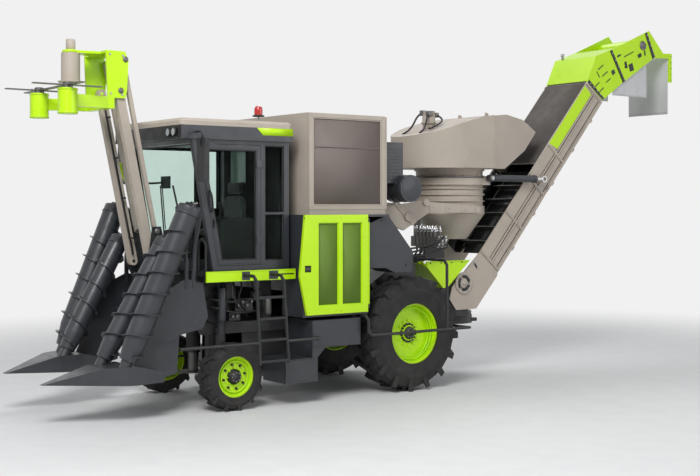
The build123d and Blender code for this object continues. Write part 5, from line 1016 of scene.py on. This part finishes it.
# -------- topper
BLADES_AFT, SHREDDER_AFT = -4.64, -4.42
for label, side in SIDES:
    x, out, blades = side * 0.32, (side, 0, 0), f"gather_blades_{label}"
    bolts(f"head_plate_bolts_{label}", [at(x, y, z)
              for y, z in ((-3.89, 4.3), (-4.06, 4.31), (-3.9, 3.83), (-4.05, 3.84))], out, 0.012, 0.009,
          "topper_head")
    prism(f"head_plate_fold_{label}", [(-4.108, 4.353), (-4.075, 4.353), (-4.058, 3.792), (-4.084, 3.792)],
          x - side * 0.006, x + side * 0.006, "topper_head", LIME, 0.001)
    for pin_y, pin_z in ((-3.92, 3.88), (-3.86, 4.26)):
        knob(f"head_pin_{label}_{int(pin_z * 100)}",
             ((0.03, 0), (0.034, 0.004), (0.034, 0.012), (0.02, 0.016)), 0.001, at(x, pin_y, pin_z), out,
             "topper_head", STEEL, 28)
    for pin_y, pin_z in ((-3.49, 1.8), (-3.43, 2.18)):
        knob(f"cheek_pin_{label}_{int(pin_z * 100)}",
             ((0.036, 0), (0.04, 0.005), (0.04, 0.013), (0.022, 0.018)), 0.001, at(x, pin_y, pin_z), out,
             "chassis", STEEL, 28)
    # gathering blades: hub cap and bolts; bands round their housing
    centre_x = side * 0.43
    knob(f"blade_cap_{label}", ((0.054, 0), (0.058, 0.004), (0.05, 0.012), (0.03, 0.016)), 0.001,
         at(centre_x, BLADES_AFT, 3.9205), UP, blades, STEEL, 32)
    bolts(f"blade_bolts_{label}", [at(centre_x, BLADES_AFT, 3.9043) +
              Matrix.Rotation(math.pi / 2 * k, 3, "Z") @ Vector((0.1, 0.02, 0)) for k in range(4)], UP,
          0.011, 0.009, blades)
    for z in (3.565, 3.838):
        lathe(f"housing_band_{label}_{int(z * 1000)}",
              ((0.108, 0), (0.1165, 0), (0.1165, 0.018), (0.108, 0.018)), at(centre_x, BLADES_AFT, z), UP,
              "topper_head", LIME, 56)
    # bolts at the arms' lower ends
    bolts(f"arm_bolts_{label}", [at(side * 0.2905, -3.484, 1.885)], out, 0.01, 0.006, "topper_arms")


def on_arm(share):
    """(aft, z) at a share of the topper arms' length."""
    low, high = Vector((-3.49, 1.8)), Vector((-3.92, 3.88))
    return low + (high - low) * share


# hoses up both arms to the head, and their clamps
for count, (x, off) in enumerate(((0.192, -0.02), (0.165, 0.005), (-0.192, 0.0), (-0.165, -0.018))):
    points = [at(x + 0.006 * math.sin(3 * t + count), on_arm(t).x + off, on_arm(t).y)
            for t in (0.04, 0.2, 0.4, 0.6, 0.8, 0.97)]
    tube(f"topper_hose_{count}", points, 0.011, "topper_arms", HOSE)
boxes("hose_clamps", [(at(side * 0.162, *on_arm(t)), (0.1, 0.03, 0.022)) for side in (1, -1)
          for t in (0.14, 0.38, 0.62, 0.86)], "topper_arms", BLACK, 0.003)
# shredder: cap rim and motor
lathe("shred_cap", ((0.09, 0.0), (0.1, 0.0), (0.1, 0.03), (0.094, 0.036), (0.06, 0.04), (0.046, 0.046)),
      at(0, SHREDDER_AFT, 4.3245), UP, "topper_head", LIME, 56)
knob("shred_motor", ((0.05, 0), (0.054, 0.005), (0.058, 0.07), (0.056, 0.076), (0.056, 0.122),
         (0.048, 0.129)), 0.001, at(0, SHREDDER_AFT, 4.362), UP, "topper_head", BEIGE, 36)
# lime lock arm on the right topper arm
prism("lock_arm", [(-3.69, 3.01), (-3.6, 3.045), (-3.42, 2.73), (-3.49, 2.68)], -0.33, -0.292, "topper_arms",
      LIME, 0.005)
discs("lock_pin", [(at(-0.29, -3.455, 2.715), (-1, 0, 0), 0.026, 0.06)], "topper_arms", ZINC)

# scroll motors: deep caps with a flange ring and ports, on the dividers
for label, side in SIDES:
    body = f"divider_{label}"
    for which, low, high, radius in (("outer", (0.92, -4.12, 0.71), (1.01, -3.4, 2.38), 0.14),
                                     ("inner", (0.542, -4.239, 0.712), (0.62, -3.526, 1.99), 0.12)):
        foot_end, top_end = (at(side * x, y, z) for x, y, z in (low, high))
        way = (top_end - foot_end).normalized()
        lathe(f"motor_cap_{which}_{label}", [(share * radius, along) for share, along in ((0.93, 0.004),
                      (1.06, 0.004), (1.06, 0.02), (1, 0.024), (1, 0.098), (0.93, 0.112), (0.55, 0.118),
                      (0.5, 0.15), (0.3, 0.154))] + [(ON_AXIS, 0.155)], top_end, way, body, SLATE, 48)
        bolts(f"motor_bolts_{which}_{label}", ring(top_end + way * 0.11, way, 0.8 * radius, 6), way, 0.009,
              0.008, body)
        discs(f"motor_ports_{which}_{label}",
              [(top_end + way * 0.135, (turn * side * 0.5, 0.6, 0.2), 0.018, 0.085) for turn in (1, -1)],
              body, STEEL, 0.002, 12)
